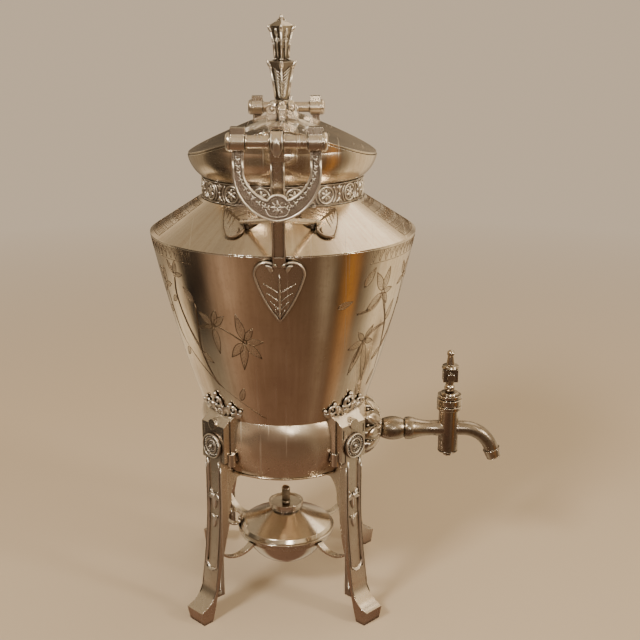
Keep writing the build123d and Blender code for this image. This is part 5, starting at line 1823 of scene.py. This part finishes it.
@dataclass
class Leg(Part):
    """One leg with its knee block, roundel and the curled leaves above it.

    Attributes:
        number: Number of the leg.
        azimuth: Direction of the leg from the axis.
        panel_half: Half width of the sunk panel.
        panel_foot_z: Height of the panel's round end.
        panel_top_z: Height at which the panel starts.
        panel_reach: Reach of the panel from the urn's axis.
        roundel_z: Height of the roundel's middle.
        roundel_reach: Reach of the roundel from the urn's axis.
        rings: Radius and wire of each of the roundel's rings.
        beads: Radius of each ring of beads, their number and their size.
        sprig_radius: Radius at which the sprig's sideways lengths are true.
    """

    number: int
    azimuth: float
    panel_half: float = 5.9
    panel_foot_z: float = 44.0
    panel_top_z: float = 125.0
    panel_reach: float = 71.5
    roundel_z: float = 135.2
    roundel_reach: float = 72.4
    rings: tuple[Flat, ...] = ((8.7, 0.45), (5.35, 0.4), (2.4, 0.35))
    beads: tuple[tuple[float, int, float], ...] = ((7.0, 24, 0.62), (3.9, 14, 0.52))
    sprig_radius: float = 64.0

    def build(self) -> None:
        """Dress the leg's nodes and build its ornament."""
        dress(self.finishes.cast, f"leg_{self.number}", f"knee_block_{self.number}")
        dress(self.finishes.ground, f"knee_roundel_{self.number}")
        self.build_panel()
        self.build_roundel()
        self.build_sprig()

    def build_panel(self) -> None:
        """Add the raised border of the panel and the two small ornaments on it."""
        seat = FacingSeat(skin_of([f"leg_{self.number}"]), self.azimuth, self.panel_reach)
        work = FlatWork()
        half, foot_z, top_z = self.panel_half, int(self.panel_foot_z), int(self.panel_top_z)
        border = [(half, z) for z in range(top_z - 1, foot_z, -6)]
        border += arc((0, self.panel_foot_z), half + 0.25, 0, -180, 13)
        border += [(-half, z) for z in range(foot_z + 2, top_z + 1, 6)]
        widths = [2.1 if z < self.panel_foot_z else 1.3 for _, z in border]
        work.stroke(border, widths, 0.9, sides=8)
        for side in (-1, 1):
            work.stroke([(side * 8.0, z) for z in range(18, 123, 6)], 0.9, 0.5)
            work.leaf((0, 96.0), (side * 6.4, 93.4), 5.4, 1.7)
            work.leaf((side * 2.0, 94.5), (side * 4.6, 100.4), 3.2, 1.4)
            work.leaf((0, 77.4), (side * 3.6, 80.8), 3.4, 1.4)
            work.stroke(curve([(0, 95.0), (side * 3.4, 97.2), (side * 6.2, 95.2)], 7), 0.7, 1.9)
        work.leaf((0, 97.0), (0, 84.6), 5.2, 1.9)
        work.leaf((0, 79.6), (0, 70.4), 4.6, 1.6)
        work.ball((0, 96.2), 1.5, lift=1.2)
        work.seat(seat).piece(f"leg_panel_{self.number}", Body.URN, Slot.CAST, self.finishes.relief)

    def build_roundel(self) -> None:
        """Add the beaded rings of the roundel."""
        seat = FacingSeat(skin_of([f"knee_roundel_{self.number}"]), self.azimuth, self.roundel_reach)
        work = FlatWork()
        middle = (0.0, self.roundel_z)
        for radius, wire in self.rings:
            work.ring(middle, radius, wire)
        for radius, count, size in self.beads:
            for number in range(count):
                turn = 2 * pi * number / count
                work.ball((radius * cos(turn), self.roundel_z + radius * sin(turn)), size, lift=0.15)
        work.ball(middle, 1.4, lift=0.2)
        work.seat(seat).piece(f"roundel_rings_{self.number}", Body.URN, Slot.RELIEF, self.finishes.relief)

    def build_sprig(self) -> None:
        """Build the cast sprig above the knee: folded leaves, scrolls and berries."""
        work = FlatWork()
        work.ring((0, 167.8), 3.9, 1.15, lift=1.2)
        work.ball((0, 174.0), 1.75, lift=1.2)
        work.ball((0, 167.8), 1.5, lift=0.4)
        work.leaf((0, 153.0), (0, 163.6), 8.4, 3.0, belly=0.6, crease=0.6)
        for side in (-1, 1):
            work.leaf((side * 3.0, 153.6), (side * 9.4, 166.0), 6.6, 2.5, belly=0.6, crease=0.6)
            work.ring((side * 13.2, 163.4), 3.1, 1.0, lift=1.1)
            work.ball((side * 13.2, 163.4), 1.2, lift=0.5)
            work.ball((side * 12.4, 168.4), 1.4, lift=1.0)
            work.leaf((side * 9.0, 156.4), (side * 19.8, 160.6), 6.4, 2.3, belly=0.62, bend=-0.06 * side)
            work.ball((side * 19.4, 163.6), 1.5, lift=0.9)
            stalk = [(side * 1.4, 154.0), (side * 4.8, 160.4), (side * 4.2, 165.4)]
            work.stroke(curve(stalk, 11), 1.4, 1.9, lift=0.8)
        work.seat(RoundSeat(skin_of(["body_shell"]), self.azimuth, self.sprig_radius))
        leaves = [f"knee_leaves_{self.number}"]
        work.piece(f"knee_sprig_{self.number}", Body.URN, Slot.CAST, self.finishes.relief, stands_for=leaves)


@dataclass
class Tap(Part):
    """Tap with its escutcheon, plug and turning handle.

    Attributes:
        nodes: Solids of tarnished plate.
        reach: Distance of the barrel's axis from the urn's.
        centre_z: Height of the escutcheon's middle.
        lobes: Number of leaves round the escutcheon.
        strands: Number of strands of the roped ring.
        rope_radius: Radius of the roped ring.
        rings: Height, radius and wire of each turned ring of the barrel.
        mouth: Place of the ring round the mouth of the spout.
        spout_way: Direction in which the spout ends.
    """

    nodes: tuple[str, ...] = (
        "tap_escutcheon", "tap_body", "tap_plug",
        "plug_washer", "plug_nut", "tap_handle",
    )
    reach: float = 124.6
    centre_z: float = 131.3
    lobes: int = 10
    strands: int = 22
    rope_radius: float = 11.0
    rings: tuple[Spot, ...] = ((109.75, 7.3, 0.45), (147.6, 6.9, 0.4), (151.4, 7.2, 0.45))
    mouth: Spot = (160.20, 0.0, 104.42)
    spout_way: Spot = (0.3090, 0, -0.9511)

    def build(self) -> None:
        """Dress the tap's nodes and build its ornament."""
        dress(self.finishes.tap, *self.nodes)
        dress(self.finishes.brass, "shank_nut")
        dress(self.finishes.seal, "shank_washer")
        self.build_escutcheon()
        self.build_rings()

    def spot(self, radius: float, turn: float) -> Flat:
        """Return a point of the escutcheon at a radius and an angle in radians."""
        return (radius * cos(turn), self.centre_z + radius * sin(turn))

    def build_escutcheon(self) -> None:
        """Add leaves, beads and a roped ring to the escutcheon."""
        seat = FacingSeat(skin_of(["tap_escutcheon"]), 0.0, 62.0)
        work = FlatWork()
        for number in range(self.lobes):
            turn = 2 * pi * number / self.lobes
            work.leaf(self.spot(8.5, turn), self.spot(22.4, turn), 8.2, 1.1, belly=0.62)
            work.ball(self.spot(19.6, turn + pi / self.lobes), 1.2)
        work.ring((0, self.centre_z), 8.6, 0.9)
        for number in range(self.strands):
            root = self.spot(self.rope_radius, 2 * pi * number / self.strands)
            work.petal(root, number * 360 / self.strands + 60, 2.6, 1.5, 1.1)
        work.seat(seat).piece("escutcheon_leaves", Body.URN, Slot.TAP, self.finishes.cast)

    def build_rings(self) -> None:
        """Add the turned rings that edge the barrel, its foot and the mouth of the spout."""
        work = FlatWork()
        for height, radius, wire in self.rings:
            ring = FlatWork()
            ring.ring((0, 0), radius, wire)
            ring.settle(PlaneSeat(Vector((self.reach, 0, height)), outwards(0.0), Vector((0, 1, 0))), work)
        lip = FlatWork()
        lip.ring((0, 0), 5.3, 0.45)
        aside = Vector((0, 1, 0))
        lip.settle(PlaneSeat(Vector(self.mouth), aside, Vector(self.spout_way).cross(aside)), work)
        work.piece("tap_rings", Body.URN, Slot.TAP, self.finishes.tap)


@dataclass
class Lamp(Part):
    """Spirit lamp and the carrier that holds it.

    Attributes:
        rim_radius: Radius of the lamp's rim.
        rim_z: Height of the rim's ring.
        tube_radius: Radius of the wick tube.
        tube_top_z: Height of the ring at the tube's top.
        soot_foot_z: Height at which the soot starts.
        soot_length: Length of the sooty part of the tube.
        berries: Place of the two berries where the ring handle is joined on.
    """

    rim_radius: float = 37.4
    rim_z: float = 46.9
    tube_radius: float = 3.0
    tube_top_z: float = 77.9
    soot_foot_z: float = 67.8
    soot_length: float = 9.8
    berries: Flat = (-36.6, 50.6)

    def build(self) -> None:
        """Dress the lamp's nodes and the carrier, and build the ornament and the soot."""
        dress(self.finishes.lamp, "lamp_reservoir", "lamp_cover", "lamp_handle", "burner")
        dress(self.finishes.wick, "wick")
        dress(self.finishes.cast, "carrier_ring", "carrier_arms")
        self.build_berries()
        self.build_rims()
        self.build_soot()

    def build_berries(self) -> None:
        """Add the ring handle's berries."""
        work = FlatWork()
        for lift in (-3.4, 3.4):
            work.ball(self.berries, 1.7, lift=lift)
        work.seat(PlaneSeat(ORIGIN, outwards(0.0), UP))
        work.piece("ring_handle_berries", Body.LAMP, Slot.LAMP, self.finishes.lamp)

    def build_rims(self) -> None:
        """Add the beaded edges of the lamp and of its wick tube."""
        work = FlatWork()
        work.ring((0, 0), self.rim_radius - 0.5, 0.6, lift=self.rim_z)
        work.ring((0, 0), self.tube_radius + 0.05, 0.3, lift=self.tube_top_z)
        work.piece("lamp_rims", Body.LAMP, Slot.LAMP, self.finishes.lamp)

    def build_soot(self) -> None:
        """Coat the wick tube with soot."""
        coat = bmesh.new()
        place = Matrix.Translation((0, 0, self.soot_foot_z))
        radius = self.tube_radius + 0.06
        bmesh.ops.create_circle(coat, cap_ends=False, segments=32, radius=radius, matrix=place)
        grown = bmesh.ops.extrude_edge_only(coat, edges=coat.edges[:])["geom"]
        top = [item for item in grown if isinstance(item, bmesh.types.BMVert)]
        bmesh.ops.translate(coat, vec=(0, 0, self.soot_length), verts=top)
        bmesh.ops.recalc_face_normals(coat, faces=coat.faces)
        bmesh.ops.solidify(coat, geom=coat.faces[:], thickness=0.04)
        work = FlatWork()
        work.take(coat)
        work.piece("wick_tube_soot", Body.LAMP, Slot.LAMP, self.finishes.soot)


# Studio and main function


def turn_to(made: bpy.types.Object, way: Vector) -> None:
    """Turn a camera or light so that it looks along a direction."""
    made.rotation_mode = "QUATERNION"
    made.rotation_quaternion = way.to_track_quat("-Z", "Y")


@dataclass(frozen=True)
class SoftLight:
    """Soft rectangular light that faces the urn.

    Attributes:
        name: Name of the light.
        at: Its place in metres.
        size: Its width and height in metres.
        power: Its power in watts.
        colour: Its colour.
        aim: Place that it faces.
    """

    name: str
    at: Spot
    size: Flat
    power: float
    colour: Colour
    aim: Spot = (0.0, 0.0, 0.2)

    def hang(self) -> None:
        """Put the light in the scene."""
        data = bpy.data.lights.new(self.name, "AREA")
        data.shape, data.size, data.size_y = "RECTANGLE", *self.size
        data.energy, data.color = self.power, self.colour
        light = bpy.data.objects.new(self.name, data)
        show(light)
        light.location = self.at
        turn_to(light, Vector(self.aim) - Vector(self.at))


@dataclass
class Studio:
    """Camera, floor, lights and surroundings.

    Attributes:
        camera_at: Place of the camera in metres.
        heading: Direction of the view from +X, in degrees.
        pitch: How far the view tips down, in degrees.
        lens: Focal length in millimetres.
        sensor: Width of the camera's sensor in millimetres.
        floor_half: Half of the floor's side in metres.
        floor_colour: Colour of the floor.
        backdrop_colour: Plain colour behind everything.
        ceiling_colours: Colours of what is mirrored from above, at the left and at the right.
        patch_colour: Colour of the dark patches that are mirrored among the rest, and of the painted shadow
            far off on the left of the floor.
        floor_shade: Colour that the metal mirrors from the floor right below it.
        side_shade: The same at the left and at the right of the urn.
        lights: The soft lights.
        bands: Places round the urn, from 0 to 1 with 0.25 at the front, and their colours.
    """

    camera_at: Spot = (0.0230, -0.7541, 0.4371)
    heading: float = 89.735
    pitch: float = 16.50
    lens: float = 59.68
    sensor: float = 36.0
    floor_half: float = 8.0
    floor_colour: Colour = (0.62, 0.52, 0.40)
    backdrop_colour: Colour = (0.66, 0.51, 0.35)
    ceiling_colours: tuple[Colour, Colour] = ((0.42, 0.33, 0.22), (1.05, 0.80, 0.50))
    patch_colour: Colour = (0.10, 0.075, 0.05)
    floor_shade: Colour = (0.21, 0.115, 0.07)
    side_shade: Colour = (0.62, 0.49, 0.33)
    lights: tuple[SoftLight, ...] = (
        SoftLight("key", (-0.75, -1.0, 1.25), (0.32, 0.32), 17.0, (1.0, 0.90, 0.76)),
        SoftLight("fill", (1.2, -0.7, 0.75), (0.2, 0.5), 8.0, (1.0, 0.88, 0.72)),
        SoftLight("top", (0.75, 0.55, 1.3), (0.9, 0.9), 2.6, (1.0, 0.90, 0.76)),
        SoftLight("front", (0.25, -1.5, 0.62), (0.3, 0.2), 3.0, (1.0, 0.92, 0.80)),
    )
    bands: tuple[tuple[float, Colour], ...] = (
        (0.00, (0.018, 0.013, 0.011)),
        (0.045, (0.03, 0.02, 0.015)),
        (0.065, (0.26, 0.17, 0.11)),
        (0.11, (0.46, 0.30, 0.19)),
        (0.16, (0.23, 0.135, 0.08)),
        (0.25, (0.14, 0.078, 0.045)),
        (0.33, (0.12, 0.07, 0.04)),
        (0.36, (0.30, 0.22, 0.14)),
        (0.39, (0.07, 0.04, 0.022)),
        (0.43, (0.48, 0.20, 0.04)),
        (0.455, (0.10, 0.065, 0.04)),
        (0.49, (0.36, 0.28, 0.18)),
        (0.53, (1.00, 0.78, 0.50)),
        (0.66, (0.90, 0.70, 0.46)),
        (0.695, (0.30, 0.23, 0.16)),
        (0.712, (0.75, 0.58, 0.38)),
        (0.735, (0.16, 0.12, 0.08)),
        (0.775, (0.06, 0.045, 0.03)),
        (0.79, (0.42, 0.32, 0.22)),
        (0.80, (0.08, 0.06, 0.04)),
        (0.82, (0.90, 0.70, 0.46)),
        (0.94, (0.95, 0.74, 0.48)),
        (0.96, (0.60, 0.46, 0.30)),
        (0.972, (0.018, 0.013, 0.011)),
    )

    def build(self) -> None:
        """Build everything around the urn."""
        self.build_camera()
        self.build_floor()
        for light in self.lights:
            light.hang()
        self.build_world()

    def build_camera(self) -> None:
        """Place the camera at the photograph's angle."""
        data = bpy.data.cameras.new("camera")
        data.lens, data.sensor_width = self.lens, self.sensor
        data.clip_start, data.clip_end = 0.01, 50.0
        camera = bpy.data.objects.new("camera", data)
        show(camera)
        camera.location = self.camera_at
        turn, tip = radians(self.heading), radians(self.pitch)
        turn_to(camera, Vector((cos(turn) * cos(tip), sin(turn) * cos(tip), -sin(tip))))
        bpy.context.scene.camera = camera

    def build_floor(self) -> None:
        """Lay the floor."""
        mesh = bpy.data.meshes.new("floor")
        work = bmesh.new()
        bmesh.ops.create_grid(work, x_segments=1, y_segments=1, size=self.floor_half)
        work.to_mesh(mesh)
        work.free()
        mesh.materials.append(self.floor_material())
        floor = bpy.data.objects.new("floor", mesh)
        show(floor)
        floor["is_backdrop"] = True

    def floor_material(self) -> bpy.types.Material:
        """Build a plain pale floor, which the metal mirrors as a darker one with soft bands.

        Returns:
            The material.
        """
        made, wires, shader = new_material("pale floor")
        shader.inputs["Base Color"].default_value = (*self.floor_colour, 1.0)
        shader.inputs["Roughness"].default_value = 0.75
        shader.inputs["Specular IOR Level"].default_value = 0.1
        place = wires.place()
        reach = wires.node("ShaderNodeVectorMath", operation="LENGTH", i0=place).outputs["Value"]
        plain = wires.node("ShaderNodeEmission", Color=(*self.backdrop_colour, 1.0), Strength=1.0)
        away = wires.ramp(reach, 0.45, 1.5)
        seen = wires.node("ShaderNodeMixShader", i0=away, i1=shader.outputs[0], i2=plain.outputs[0])
        mirrored = wires.node("ShaderNodeEmission", Color=self.mirrored(wires, place, reach), Strength=1.0)
        direct = wires.node("ShaderNodeLightPath").outputs["Is Camera Ray"]
        whole = wires.node("ShaderNodeMixShader", i0=direct, i1=mirrored.outputs[0], i2=seen.outputs[0])
        wires.join(whole.outputs[0], made.node_tree.nodes["Material Output"], "Surface")
        return made

    def mirrored(
        self, wires: Wiring, place: bpy.types.NodeSocket, reach: bpy.types.NodeSocket
    ) -> bpy.types.NodeSocket:
        """Add the floor as the metal mirrors it: dark close by, with bands, and a painted shadow further off
        on the left.

        Args:
            wires: Tree to add it to.
            place: Place on the floor.
            reach: Distance of the place from the urn's axis.

        Returns:
            The colour there.
        """
        level = wires.split(place)["X"]
        sideways = wires.math("DIVIDE", wires.math("ABSOLUTE", level), reach)
        close = wires.mix(wires.ramp(sideways, 0.82, 0.97), self.floor_shade, self.side_shade)
        colour = wires.mix(wires.ramp(reach, 0.06, 0.4), close, self.surroundings(wires, place))
        # Painted shadow on the far left of the mirrored floor
        left = wires.ramp(wires.share(level, -1.0), 0.1, 0.3)
        far = wires.math("MULTIPLY", wires.ramp(reach, 0.5, 0.75), left)
        return wires.mix(wires.share(far, 0.75), colour, self.patch_colour)

    def surroundings(self, wires: Wiring, place: bpy.types.NodeSocket) -> bpy.types.NodeSocket:
        """Add the soft bands of light and shade that stand round the urn.

        Args:
            wires: Tree to add them to.
            place: Direction or place that is looked at.

        Returns:
            The colour there.
        """
        turn = wires.node("ShaderNodeTexGradient", gradient_type="RADIAL", Vector=place)
        ramp = wires.node("ShaderNodeValToRGB", Fac=turn.outputs["Fac"])
        elements = ramp.color_ramp.elements
        for element, position in zip(elements, (0.0, 1.0)):
            element.position, element.color = position, (*self.bands[0][1], 1)
        for position, colour in self.bands[1:]:
            elements.new(position).color = (*colour, 1)
        return ramp.outputs["Color"]

    def build_world(self) -> None:
        """Surround the urn with bands of light and shade below a pale ceiling, plain to the camera."""
        world = bpy.data.worlds.new("surroundings")
        bpy.context.scene.world = world
        world.use_nodes = True
        wires = Wiring(world.node_tree)
        ground = world.node_tree.nodes["Background"]
        place = wires.node("ShaderNodeTexCoord").outputs["Generated"]
        way = wires.split(place)
        walls = self.surroundings(wires, place)
        behind = wires.math("MAXIMUM", way["Y"], 0.0)
        rise = wires.math("SUBTRACT", way["Z"], wires.share(behind, 0.28))
        ceiling = wires.mix(wires.ramp(way["X"], -0.35, 0.5), *self.ceiling_colours)
        colour = wires.mix(wires.ramp(rise, 0.05, 0.30), walls, ceiling)
        patches = wires.ramp(wires.noise(place, 2.6, 2.0), 0.52, 0.68)
        colour = wires.mix(wires.share(patches, 0.7), colour, self.patch_colour)
        direct = wires.node("ShaderNodeLightPath").outputs["Is Camera Ray"]
        wires.join(wires.mix(direct, colour, self.backdrop_colour), ground, "Color")
        ground.inputs["Strength"].default_value = 1.0


def box() -> list[list[float]]:
    """Return the shown object's box as plain numbers."""
    bpy.context.view_layer.update()
    return [list(corner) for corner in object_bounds()]


def main() -> None:
    """Build the looks of the urn part by part."""
    logging.basicConfig(level=logging.INFO, format="%(name)s: %(message)s")
    frame_box = box()
    finishes = Finishes.build()
    parts: dict[str, Part] = {
        "shell": Shell(finishes),
        "neck band": NeckBand(finishes),
        "lid": Lid(finishes),
        "front handle": DropHandle(finishes, "front", FRONT, Body.FRONT_BAIL),
        "back handle": DropHandle(finishes, "back", BACK, Body.BACK_BAIL),
        "tap": Tap(finishes),
        "lamp": Lamp(finishes),
    }
    for number, azimuth in enumerate(LEGS, start=1):
        parts[f"leg {number}"] = Leg(finishes, number, azimuth)
    for name, part in parts.items():
        part.build()
        LOG.info("%s is built", name)
    Studio().build()
    {"frame": frame_box, "dressed": box()}


if __name__ == "__main__":
    main()
